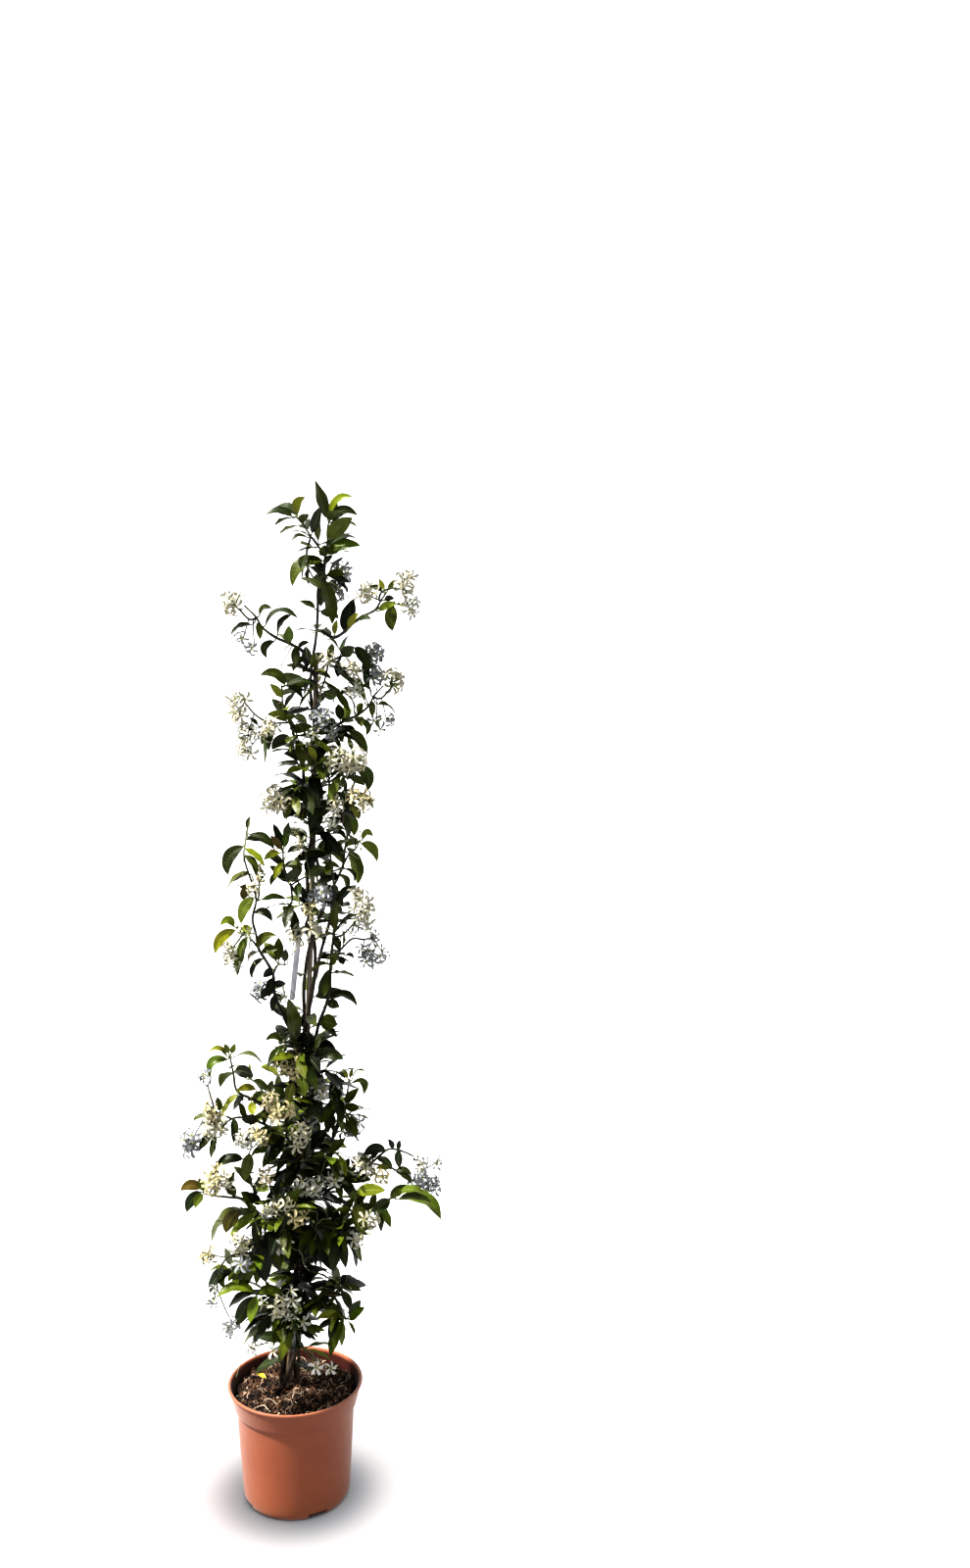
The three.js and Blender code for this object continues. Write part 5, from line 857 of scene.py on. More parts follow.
def turned(skin, profile, segments, centre, axis, tone, seed, lobes=0.0):
    """A lathed body: profile rows are radius, height along the axis, and the value kept in blade's y."""
    axis = unit(np.asarray(axis, float))
    right = unit(np.cross((0.31, 0.9, 0.2), axis))
    up = np.cross(axis, right)
    angles = 2 * np.pi * np.arange(segments) / segments
    profile = np.asarray(profile, float)
    radius = profile[:, :1] * (1 + lobes * np.cos(3 * angles + 0.35 * profile[:, 1:2]))
    points = (
        np.asarray(centre, float)
        + (radius * np.cos(angles))[..., None] * right
        + (radius * np.sin(angles))[..., None] * up
        + profile[:, 1][:, None, None] * axis
    )
    n = len(profile)
    ends = np.array([points[0].mean(axis=0), points[-1].mean(axis=0)])
    values = np.full((n * segments + 2, 3), seed, float)
    values[:-2, 0], values[-2:, 0] = np.tile(np.arange(segments) / segments, n), 0
    values[:-2, 1] = np.repeat(profile[:, 2], segments)
    values[-2, 1], values[-1, 1] = profile[0, 2], profile[-1, 2]
    skin.add(np.concatenate([points.reshape(-1, 3), ends]), tube_faces(n, segments), 0, values, tone)


# ---- Materials ----
class Look:
    """A material built from nodes. A socket takes a number, a tuple or another node's output."""

    def __init__(self, name):
        self.material = bpy.data.materials.new(name)
        self.material.use_nodes = True
        self.tree = self.material.node_tree
        self.shader = self.tree.nodes["Principled BSDF"]

    def node(self, kind, settings=None, output=0, **sockets):
        """A new node's output. A socket goes by its name, with _ for a space, or by number, as i0."""
        node = self.tree.nodes.new("ShaderNode" + kind)
        for key, value in (settings or {}).items():
            setattr(node, key, value)
        for key, value in sockets.items():
            self.put(node, key.replace("_", " "), value)
        return node.outputs[output]

    def put(self, node, key, value):
        socket = node.inputs[int(key[1:]) if key[1:].isdigit() and key[0] == "i" else key]
        if isinstance(value, bpy.types.NodeSocket):
            self.tree.links.new(value, socket)
        elif hasattr(socket.default_value, "__len__") and len(socket.default_value) == 4:
            socket.default_value = (*value[:3], 1)
        else:
            socket.default_value = value

    def set(self, **sockets):
        for key, value in sockets.items():
            self.put(self.shader, key.replace("_", " "), value)
        return self.material

    def math(self, operation, a, b=0.0):
        return self.node("Math", {"operation": operation}, i0=a, i1=b)

    def times(self, a, b):
        return self.math("MULTIPLY", a, b)

    def plus(self, a, b):
        return self.math("ADD", a, b)

    def attribute(self, name, output="Vector"):
        return self.node("Attribute", {"attribute_name": name}, output)

    def xyz(self, vector):
        split = self.tree.nodes.new("ShaderNodeSeparateXYZ")
        self.tree.links.new(vector, split.inputs[0])
        return split.outputs

    def spot(self):
        return self.node("TexCoord", None, "Object")

    def place(self, scale=(1, 1, 1)):
        return self.node("Mapping", None, 0, Vector=self.spot(), Scale=scale)

    def noise(self, scale, detail=3.0, roughness=0.55, vector=None):
        vector = self.place() if vector is None else vector
        return self.node("TexNoise", None, 0, Vector=vector, Scale=scale, Detail=detail, Roughness=roughness)

    def span(self, value, low, high, to_low=0.0, to_high=1.0, smooth=False):
        settings = {"interpolation_type": "SMOOTHSTEP" if smooth else "LINEAR"}
        return self.node(
            "MapRange", settings, 0, Value=value, From_Min=low, From_Max=high, To_Min=to_low, To_Max=to_high
        )

    def middling(self, value, to_low, to_high):
        """Spreads the middle part of a noise, where most of it lies."""
        return self.span(value, 0.3, 0.7, to_low, to_high)

    def mix(self, share, a, b):
        return self.node("Mix", {"data_type": "RGBA"}, 2, i0=share, i6=a, i7=b)

    def tinted(self, colour, value, low, high):
        """The colour, between low and high times as bright."""
        scale = self.middling(value, low, high)
        return self.node("VectorMath", {"operation": "SCALE"}, 0, i0=colour, Scale=scale)

    def bump(self, height, strength, distance, normal=None):
        sockets = {} if normal is None else {"Normal": normal}
        return self.node("Bump", None, 0, Height=height, Strength=strength, Distance=distance, **sockets)


VEIN_RATE, VEIN_SLANT = 62.0, 0.13


def leaf_look(name, upper):
    """One side of a leaf: blade's x is -1 and 1 at its edges, and its y runs from base to tip."""
    look = Look(name)
    tone = look.attribute("tone", "Color")
    across, along, _ = look.xyz(look.attribute("blade"))
    side = look.math("ABSOLUTE", across)
    slanted = look.math("SUBTRACT", along, look.times(side, VEIN_SLANT))
    wave = look.math("SINE", look.times(slanted, VEIN_RATE))
    vein = look.times(look.span(wave, 0.8, 1.0, smooth=True), look.span(side, 0.95, 0.35))
    rib = look.span(side, 0.1, 0.02, smooth=True)
    patch, fine = look.noise(70), look.noise(620)
    if not upper:
        pale = look.mix(0.35, look.tinted(tone, patch, 1.0, 1.4), (0.12, 0.16, 0.03))
        height = look.plus(look.times(vein, 0.8), look.times(rib, 1.4))
        return look.set(
            Base_Color=look.mix(look.times(look.math("MAXIMUM", vein, rib), 0.5), pale, (0.26, 0.32, 0.1)),
            Roughness=look.middling(fine, 0.52, 0.66), Normal=look.bump(height, 0.5, 0.0005),
            Specular_IOR_Level=0.15,
        )
    base = look.tinted(look.tinted(tone, patch, 0.72, 1.32), fine, 0.93, 1.07)
    light = look.mix(0.35, look.tinted(tone, patch, 1.7, 2.3), (0.2, 0.26, 0.045))
    colour = look.mix(look.times(vein, 0.3), base, light)
    colour = look.mix(look.times(rib, 0.55), colour, light)
    blush = look.span(look.noise(38, 2), 0.58, 0.75, 0, 0.28)
    colour = look.mix(blush, colour, look.mix(0.5, tone, (0.16, 0.14, 0.02)))
    sink = look.plus(look.times(vein, -0.7), look.times(rib, -1.0))
    normal = look.bump(look.plus(sink, look.times(patch, 0.9)), 0.45, 0.0006)
    return look.set(
        Base_Color=colour, Roughness=look.middling(fine, 0.33, 0.45),
        Normal=look.bump(fine, 0.12, 0.0003, normal), Specular_IOR_Level=0.26,
    )


def petal_look():
    """Petals, tubes and buds: blade's y is 0 at the throat, 1 at a petal's end and below 0 down the tube."""
    look = Look("petal")
    tone = look.attribute("tone", "Color")
    across, along, _ = look.xyz(look.attribute("blade"))
    fine = look.noise(900, 2)
    streak = look.math("SINE", look.times(across, 26.0))
    colour = look.tinted(tone, look.noise(240, 2), 0.94, 1.03)
    for share, tint in (
        (look.span(streak, 0.3, 1.0, 0.0, 0.25), (0.4, 0.38, 0.24)),
        (look.span(along, 0.2, 0.0, 0.0, 0.85, smooth=True), (0.36, 0.34, 0.1)),
        (look.span(along, -0.1, -0.55, smooth=True), (0.3, 0.34, 0.12)),
        (look.span(along, -0.85, -1.1, smooth=True), (0.1, 0.17, 0.035)),
        (look.span(fine, 0.62, 0.72, 0, 0.12), (0.5, 0.45, 0.3)),
    ):
        colour = look.mix(share, colour, tint)
    height = look.plus(look.times(streak, 0.4), fine)
    return look.set(
        Base_Color=colour, Roughness=look.middling(fine, 0.5, 0.62), Normal=look.bump(height, 0.25, 0.00025),
        Sheen_Weight=0.15,
    )


def stem_look():
    """Stems: blade's y is the distance along the stem in mm."""
    look = Look("stem")
    tone = look.attribute("tone", "Color")
    drawn = look.node(
        "VectorMath", {"operation": "MULTIPLY"}, 0, i0=look.attribute("blade"), i1=(14.0, 0.16, 9.0)
    )
    grain = look.noise(1.0, 4, 0.65, drawn)
    colour = look.tinted(look.tinted(tone, grain, 0.62, 1.45), look.noise(130), 0.78, 1.22)
    dots = look.node("TexVoronoi", None, "Distance", Vector=look.place((1, 1, 0.45)), Scale=520.0)
    pores = look.times(look.span(dots, 0.2, 0.12), look.span(look.noise(60, 1), 0.5, 0.6))
    return look.set(
        Base_Color=look.mix(look.times(pores, 0.5), colour, (0.3, 0.24, 0.16)),
        Roughness=look.middling(grain, 0.62, 0.82),
        Normal=look.bump(look.plus(look.times(grain, 1.2), pores), 0.6, 0.0005),
    )


def cane_look():
    look = Look("bamboo")
    streak = look.noise(1.0, 5, 0.6, look.place((900, 900, 14)))
    blotch = look.noise(26, 4, 0.6, look.place((1.6, 1.6, 0.5)))
    colour = look.tinted(look.tinted(look.attribute("tone", "Color"), streak, 0.72, 1.25), blotch, 0.66, 1.3)
    return look.set(
        Base_Color=look.mix(look.span(look.noise(240), 0.6, 0.72, 0, 0.55), colour, (0.045, 0.034, 0.025)),
        Roughness=look.middling(blotch, 0.42, 0.62), Normal=look.bump(streak, 0.35, 0.0003),
    )


def pot_look():
    """Terracotta-coloured plastic, dusty at the foot, with painted shade on the inside wall and a painted
    highlight along the lip.
    """
    look = Look("pot_plastic")
    fine = look.noise(1500, 2)
    drawn = look.noise(1.0, 4, 0.6, look.place((60, 60, 900)))
    rub = look.noise(1.0, 5, 0.7, look.place((260, 260, 30)))
    x, y, z = look.xyz(look.spot())
    east, north, _ = look.xyz(look.node("NewGeometry", None, "Normal"))
    outward = look.plus(look.times(x, east), look.times(y, north))
    # Painted shade: the inside wall below the lip is darkened to a near-black red.
    painted_inner_shade = look.times(look.span(outward, -0.01, -0.04), look.span(z, 0.151, 0.1485))
    dust = look.times(look.span(z, 0.034, 0.0, 0, 0.55), look.span(look.noise(60, 4), 0.35, 0.7))
    colour = (0.325, 0.089, 0.036)
    for share, tint in (
        (look.span(look.noise(9), 0.35, 0.65), (0.38, 0.115, 0.048)),
        (look.span(rub, 0.62, 0.75, 0, 0.2), (0.42, 0.18, 0.09)),
        (dust, (0.3, 0.13, 0.07)),
        # painted shade on the inside wall
        (look.times(painted_inner_shade, 0.95), (0.05, 0.011, 0.009)),
        # painted highlight along the lip
        (look.span(z, 0.149, 0.1515, 0, 0.4), (0.5, 0.21, 0.12)),
    ):
        colour = look.mix(share, colour, tint)
    height = look.plus(look.times(fine, 0.5), look.times(drawn, 0.5))
    return look.set(
        Base_Color=colour, Roughness=look.plus(look.span(rub, 0.4, 0.75, 0.4, 0.55), look.times(fine, 0.05)),
        Normal=look.bump(height, 0.16, 0.0002), IOR=1.49, Sheen_Weight=0.3, Sheen_Roughness=0.4,
    )


def soil_look():
    look = Look("potting_soil")
    grain = look.noise(420, 6, 0.7)
    colour = look.tinted(look.attribute("tone", "Color"), grain, 0.5, 1.6)
    return look.set(
        Base_Color=look.tinted(colour, look.noise(45), 0.75, 1.25),
        Roughness=look.middling(grain, 0.82, 0.97), Normal=look.bump(grain, 0.8, 0.0012),
    )


def plastic_look(name, low, high, rough):
    look = Look(name)
    fine, cloud = look.noise(1800), look.noise(90)
    colour = look.mix(look.span(cloud, 0.35, 0.65), low, high)
    return look.set(
        Base_Color=look.tinted(colour, fine, 0.94, 1.05),
        Roughness=look.middling(fine, rough - 0.06, rough + 0.06),
        Normal=look.bump(look.plus(fine, cloud), 0.2, 0.0002),
    )


def floor_look():
    """Pale, with a painted shadow that makes it a little darker close round the pot, and a painted glow that
    makes it white farther off.
    """
    look = Look("studio_floor")
    off = look.node("VectorMath", {"operation": "LENGTH"}, "Value", i0=look.spot())
    plain = look.mix(look.noise(1.2, 2), (0.77, 0.77, 0.77), (0.8, 0.8, 0.8))
    # Painted shadow: darker and bluer close round the pot.
    colour = look.mix(look.span(off, 0.128, 0.065, smooth=True), plain, (0.38, 0.405, 0.43))
    # Painted glow: the floor gives off light, none close to the pot and more farther off.
    painted_glow = look.span(off, 0.08, 0.4, 0.0, 0.85, smooth=True)
    return look.set(Base_Color=colour, Roughness=0.9, Emission_Color=(1, 1, 1), Emission_Strength=painted_glow)

LEAF_TOP, LEAF_BELOW = leaf_look("leaf_upper_side", True), leaf_look("leaf_underside", False)
PETAL, STEM, CANE, POT, SOIL = petal_look(), stem_look(), cane_look(), pot_look(), soil_look()
TIE = plastic_look("tie_plastic", (0.1, 0.12, 0.17), (0.15, 0.17, 0.22), 0.45)
LABEL = plastic_look("label_plastic", (0.6, 0.58, 0.66), (0.68, 0.66, 0.72), 0.4)

# Leaves: k nearly black, as painted shade, d dark, o olive, g green, y yellow-green, b brown, p pale, f
# yellowed
LEAF_TONES = dict(
    k=(0.007, 0.012, 0.005), d=(0.017, 0.028, 0.003), o=(0.062, 0.078, 0.006), g=(0.10, 0.135, 0.01),
    y=(0.19, 0.215, 0.013), b=(0.09, 0.068, 0.008), p=(0.46, 0.5, 0.4), f=(0.4, 0.34, 0.045),
)
# Petals: c cream, w white, s shaded, y yellowish, b withered, f on the soil
PETAL_TONES = dict(
    c=(0.58, 0.55, 0.43), w=(0.58, 0.58, 0.52), s=(0.31, 0.33, 0.365), y=(0.56, 0.49, 0.28),
    b=(0.42, 0.36, 0.24), f=(0.6, 0.61, 0.63),
)
STEM_TONES = dict(
    dark=(0.03, 0.021, 0.015), bark=(0.075, 0.054, 0.035), tan=(0.2, 0.15, 0.1), pale=(0.36, 0.36, 0.2),
    pink=(0.3, 0.18, 0.11), green=(0.14, 0.18, 0.04),
)
BARK, BARK_DARK, GREEN_STEM = np.array([(0.045, 0.031, 0.02), (0.013, 0.009, 0.007), (0.042, 0.058, 0.012)])
BAMBOO, BUD_TONE = np.array([(0.27, 0.22, 0.165), (0.522, 0.55, 0.344)])
# A flower near the soil is this much lighter: painted sunlight.
LOW_FLOWER, PAINTED_SUNLIGHT = 236, (1.66, 1.6, 1.7)
FLOWER_COUNTS = [(8, 2), (10, 3), (12, 5), (14, 7), (99, 9)]
# Rows of radius, height and the value for blade's y.
BUD = [
    (0.3, -1.0, -1.2), (0.85, -0.4, -1.15), (1.05, 0.6, -1.1), (0.7, 1.3, -0.9), (0.6, 2.6, -0.6),
    (0.75, 4.2, -0.35), (1.2, 5.6, -0.12), (1.35, 6.8, 0.42), (1.0, 8.2, 0.55), (0.45, 9.6, 0.6),
    (0.12, 10.2, 0.6),
]


# ---- Growing ----
rng = np.random.default_rng(SEED)


def any_angle():
    return rng.uniform(0, 2 * math.pi)


def grow_rod(skin, line, young, sides=8):
    """One of the CAD's stems: dark at its foot, and by the share `young` green towards its end."""
    points = line.get("lead", []) + curve(line["controls"], 5 * (len(line["points"]) - 1))
    share = np.linspace(0, 1, len(points))
    swell = 1 + 0.07 * np.sin(share * len(points) * 1.3 + rng.uniform(0, 6))
    swell += rng.normal(0, 0.03, len(points))
    radii = lerp(line["foot"], line["tip"], share ** 1.7) * swell * 1.3
    mixed = np.clip((share - 0.35) / 0.5, 0, 1)[:, None] * young
    dark, green = BARK_DARK * rng.uniform(0.85, 1.5), GREEN_STEM * rng.uniform(0.7, 1.2)
    rod(skin, points, radii, sides, dark * (1 - mixed) + green * mixed, seed=rng.uniform(0, 40))


def leaf_outline(s, before=0.43, beyond=0.57, fullness=1.5):
    """Half the width of a blade along it, as a share of its greatest."""
    return (s / before) ** (before * fullness) * ((1 - s) / beyond) ** (beyond * fullness)


def grow_leaf(skin, plan, place):
    """A leaf and its stalk. Returns some points of the blade."""
    root, base, middle, tip = (place.out(plan[key]) for key in ("root", "base", "middle", "tip"))
    upper, half = place.way(plan["upper"]), plan["half"]
    reach = length(tip - base)
    n, m = (13, 7) if reach > 20 and not plan.get("coarse") else (9, 5)
    s, t = sheet_axes(n, m)
    side = np.abs(t)
    tangent = 2 * (1 - s) * (middle - base) + 2 * s * (tip - middle)
    tangent /= np.linalg.norm(tangent, axis=1, keepdims=True)
    normal = upper - tangent * (tangent @ upper)[:, None]
    normal /= np.linalg.norm(normal, axis=1, keepdims=True)
    twist = rng.uniform(-0.35, 0.35) * (s - 0.3)
    right, turn, lean = np.cross(tangent, normal), np.cos(twist), np.sin(twist)
    normal, right = normal * turn + right * lean, right * turn - normal * lean
    wide = np.maximum(half * leaf_outline(s), np.where(s < 0.5, 0.7, 0.22))
    fold, roll = rng.uniform(0.14, 0.34), rng.uniform(0.02, 0.16)
    ripple = np.sin(s * rng.uniform(9, 16) + np.sign(t) * rng.uniform(0.4, 1.6) + rng.uniform(0, 6))
    lift = wide * (fold * side ** 1.25 - roll * side ** 3) + 0.02 * reach * ripple * t * t * np.sin(np.pi * s)
    puff = 0.012 * reach * np.sin(s * 50 - side * 7) * (1 - t * t) * side * 1.2
    grid = spread(bow(base, middle, tip, s), (right, wide * t), (normal, lift + puff))
    seed = rng.uniform(0, 50)
    vary = rng.uniform(0.8, 1.22) * np.array([rng.uniform(0.88, 1.14), 1.0, rng.uniform(0.8, 1.25)])
    tone = np.array(LEAF_TONES[plan["tone"]]) * vary
    closed_sheet(skin, grid, normal[n // 2], LEAF_THICK, (0, 1), (t, s, seed), tone)
    ahead = tangent[0]
    neck = base - ahead * length(base - root) * 0.45
    stalk = [bow(root, neck, base + ahead * 1.5, u) for u in np.linspace(0, 1, 5)]
    rod(skin, stalk, np.linspace(0.95, 0.75, 5), 5, GREEN_STEM * 0.7 + tone * 0.6, look=2)
    return grid[::2, :: (m - 1) // 2].reshape(-1, 3)


def grow_flower(skin, hub, centre, facing, size, tone):
    """A star with its eye at centre: narrow petals set pinwheel fashion. Returns its tube's foot."""
    seed = rng.uniform(0, 40)
    facing = unit(facing)
    side = unit(np.cross((0.2, 0.1, 1), facing))
    over = np.cross(facing, side)
    deep = min(TUBE, length(centre - hub) * 0.75)
    foot = centre - facing * deep
    tube = [
        (0.35, -1.2, -1.2), (1.1, -0.5, -1.15), (1.4, 1.2, -1.05), (0.8, 1.8, -0.8),
        (0.85, deep * 0.45, -0.55), (1.15, deep * 0.65, -0.4), (1.0, deep * 0.85, -0.2), (1.5, deep, 0.04),
        (0.35, deep - 1.0, -0.02),
    ]
    turned(skin, tube, 6, foot, facing, tone, seed)
    s, t = sheet_axes(7, 5)
    opening, curl = rng.normal(0.12, 0.22), rng.uniform(-1.25, -0.3)
    for k in range(PETALS):
        reach = (size - 1.2) * rng.uniform(0.9, 1.06)
        rise = opening + rng.normal(0, 0.12) + (curl + rng.normal(0, 0.25)) * s
        out, height = (
            start + np.concatenate([[[0]], np.cumsum(wave(rise[:-1]), axis=0)]) * (reach / 6)
            for start, wave in ((1.2, np.cos), (0.1, np.sin))
        )
        wide = reach * (0.065 + 0.125 * np.sin(np.pi * s ** 1.3 * 0.88)) * np.where(s > 0.99, 0.4, 1)
        way = seed + 2 * np.pi * k / PETALS + rng.normal(0, 0.06) + 0.34 * s * s
        roll = rng.uniform(0.1, 0.5) + rng.uniform(-0.7, 0.4) * s
        radial, around = np.cos(way) * side + np.sin(way) * over, np.cos(way) * over - np.sin(way) * side
        normal = facing * np.cos(rise) - radial * np.sin(rise)
        right = around * np.cos(roll) + normal * np.sin(roll)
        cup = wide * 0.3 * t * t + 0.16 * np.sin(8 * s + 3 * t + seed) * s
        shear = -0.3 * wide * t * s ** 3
        spine = centre + radial * out + facing * height
        grid = spread(spine, (right, wide * t), (normal, cup), (radial, shear))
        closed_sheet(skin, grid, normal[3], PETAL_THICK, blade=(t, s, seed), tone=tone)
    return foot


def grow_bud(skin, foot, way, size, tone):
    """A furled bud on its slender tube, with its small calyx."""
    profile = [(radius * size, height * size, value) for radius, height, value in BUD]
    turned(skin, profile, 7, foot, way, tone, rng.uniform(0, 40), lobes=0.09)


def angle_between(a, b):
    return math.acos(max(-1, min(1, float(unit(a) @ unit(b)))))


def grow_cluster(bloom, stalks, cluster, flowers, place):
    """Fills a cluster up: the flowers that the CAD has, more round them, and buds."""
    hub, opening, radius = cluster["hub"], cluster["opening"], cluster["radius"]
    low = cluster["centre"][2] < LOW_FLOWER
    wanted = 1 if low else next(count for limit, count in FLOWER_COUNTS if radius < limit)
    heads = list(flowers)
    for _ in range(60):
        if len(heads) >= wanted:
            break
        facing = tilted(opening, any_angle(), rng.uniform(0.15, 1.45))
        if all(angle_between(facing, other) > 0.46 for other, _ in heads):
            heads.append((facing, hub + facing * (5.5 + 0.62 * radius) * rng.uniform(0.85, 1.12)))
    # Flowers near the soil carry painted sunlight in their tone.
    tone = np.array(PETAL_TONES[cluster["tone"]]) * (PAINTED_SUNLIGHT if low else 1)
    start = place.out(hub)
    ends = []
    for facing, centre in heads:
        lean = unit(facing + rng.normal(0, 0.12, 3))
        size = rng.uniform(9.7, 12.0) * (0.88 if radius < 8 else 1)
        shade = tone * rng.uniform(0.94, 1.04)
        ends.append(grow_flower(bloom, start, place.out(centre), place.way(lean), size, shade))
    for _ in range(int(rng.integers(2, 5)) + 2 * (radius > 11)):
        way = tilted(opening, any_angle(), rng.uniform(0.35, 1.5))
        foot = place.out(hub + way * rng.uniform(2.0, max(4.0, radius * 0.6)))
        grow_bud(bloom, foot, place.way(way), rng.uniform(0.62, 1.0), tone * (0.95, 1, 0.82))
        ends.append(foot)
    for end in ends:
        if length(end - start) > 0.8:
            middle = (start + end) / 2 + rng.normal(0, 0.5, 3)
            rod(stalks, [start, middle, end], (0.55, 0.5, 0.6), 5, GREEN_STEM * 0.9)


def zone_at(height, zones):
    """The zone of the plant, counted from its top, that this height is in."""
    return min(int((PLANT_TOP - height) / (PLANT_TOP - PLANT_FOOT) * zones), zones - 1)


def pieces(skins, name, materials, slot, sharp=60):
    for k, skin in enumerate(skins):
        skin.piece(f"{name}_{k + 1}", materials, slot, sharp)


# ---- Shoots and their leaves ----
lines = {name: [vine_line(name)] for name in MAIN_STEMS}
vines = [lines[name][0] for name in MAIN_STEMS]
shoots = {}
for number in [*SHOOTS, *REAR_SHOOTS]:
    like, turn, rise = REAR_SHOOTS.get(number, (number, 0, 0))
    stem, twigs, leaves = SHOOTS[like]
    stem, node = rows(stem), f"leafy_shoot_{number:02d}"
    place = Place(stem[0][1], turn, rise)
    own = [stem_line(node, stem, place, vines, SHOOT_RADIUS, SHOOT_SIDES)]
    for twig in twigs:
        line = twig_line(node, rows(twig), place, own)
        if line:
            own.append(line)
    lines[node] = own
    shoots[node] = (place, own, rows(leaves))

leaf_skins, bloom_skins = ([Skin() for _ in range(zones)] for zones in (LEAF_ZONES, BLOOM_ZONES))
shoot_skins, stalk_skins = ([Skin() for _ in range(STEM_ZONES)] for _ in range(2))
crowd = []
by_height = sorted(shoots, key=lambda node: -shoots[node][1][0]["points"][0][2])
for order, node in enumerate(by_height):
    place, own, leaves = shoots[node]
    blades = leaf_skins[order * LEAF_ZONES // len(by_height)]
    stems = shoot_skins[order * STEM_ZONES // len(by_height)]
    blades.nodes.append(node)
    stems.nodes.append(node)
    for line in own:
        grow_rod(stems, line, 0.8)
    samples = [place.back(point) for line in own for point in springs(line)]
    for row in leaves:
        plans = [leaf_plan(row, samples, push) for push in DEPTH_STEPS]
        plan = plans[0]
        if length(plan["tip"] - plan["base"]) >= LEAST_LEAF:
            plan = settled(node, [(option, [place.out(option["tip"])]) for option in plans]) or plan
        crowd.append(grow_leaf(blades, plan, place))
    rank = list(shoots).index(node)
    for k, line in enumerate(own):
        for plan in inner_leaves(node, line, INNER_SHARE, 101 * rank + 17 * k, INNER_ROOT):
            crowd.append(grow_leaf(blades, plan, Place()))
for rank, node in enumerate(MAIN_STEMS):
    for plan in inner_leaves(node, lines[node][0], STEM_LEAF_SHARE, 3001 + 101 * rank, 1e9, SOIL_TOP + 30):
        blades = leaf_skins[zone_at(plan["root"][2], LEAF_ZONES)]
        crowd.append(grow_leaf(blades, plan, Place()))
        if node not in blades.nodes:
            blades.nodes.append(node)


# ---- Flower sprays ----
def cluster_stalk(node, line, hub, solid):
    """The points of the stalk from a spray's stem to a cluster, as the CAD has it where it does."""
    samples = springs(line)
    root = samples[nearest(samples, lambda point: length(point - hub))]
    tries = []
    for detour in STALK_DETOURS:
        bend = [lerp(root, hub, 0.5) + np.array([0, detour, 2])] if detour else []
        way = unit(hub - (bend or [root])[-1])
        points = [root] + bend + [hub + way * HUB_REACH]
        tries.append((points, corners(points, TWIG_RADIUS, TWIG_RADIUS, TWIG_SIDES, (-1,))))
    points = (settled(node, tries) if solid else None) or tries[0][0]
    if len(points) == 2:
        points = [points[0], lerp(points[0], points[1], 0.5) + rng.normal(0, 0.7, 3), points[1]]
    return curve(points, 8)


sprays = {}
for number in [*SPRAYS, *REAR_SPRAYS]:
    like, shoot = REAR_SPRAYS.get(number, (number, None))
    carrier, stem, clusters = SPRAYS[like]
    stem, node = rows(stem), f"flower_spray_{number:02d}"
    place = Place(stem[0][1])
    if shoot:
        model, turn, rise = REAR_SHOOTS[shoot]
        carrier = f"leafy_shoot_{shoot:02d}"
        place = Place(rows(SHOOTS[model][0])[0][1], turn, rise)
    line = stem_line(node, stem, place, lines[carrier], SPRAY_RADIUS, TWIG_SIDES)
    sprays[node] = (place, line, [cluster_plan(*row) for row in rows(clusters)])

by_height = sorted(sprays, key=lambda node: -sprays[node][1]["points"][0][2])
for order, node in enumerate(by_height):
    place, line, clusters = sprays[node]
    bloom = bloom_skins[order * BLOOM_ZONES // len(by_height)]
    stalks = stalk_skins[order * STEM_ZONES // len(by_height)]
    bloom.nodes.append(node)
    stalks.nodes.append(node)
    grow_rod(stalks, line, 1.0, 7)
    for cluster in clusters:
        solid = cluster["radius"] >= LEAST_CLUSTER
        stalk = cluster_stalk(node, line, place.out(cluster["hub"]), solid)
        tone = GREEN_STEM * rng.uniform(0.7, 1.2)
        rod(stalks, stalk, np.linspace(0.85, 0.65, 9), 6, tone, seed=rng.uniform(0, 40))
        flowers = []
        for k in range((1 if cluster["radius"] < 13 else 2) if solid else 0):
            plans = [flower_plan(cluster, k, attempt) for attempt in range(FLOWER_TRIES)]
            plan = settled(node, [(plan, [place.out(plan[1] - plan[0] * EYE_DEPTH)]) for plan in plans])
            if plan:
                flowers.append(plan)
        grow_cluster(bloom, stalks, cluster, flowers, place)

# ---- Leaves that fill the plant out, with no body of their own in the CAD ----
shoot_lines = [line for _, own, _ in shoots.values() for line in own]
stem_lines = shoot_lines + [line for _, line, _ in sprays.values()] + vines * 3
low_lines = [line for line in stem_lines if line["points"][0][2] < LOWER_PART]
settled_leaves = search_tree(np.concatenate(crowd))


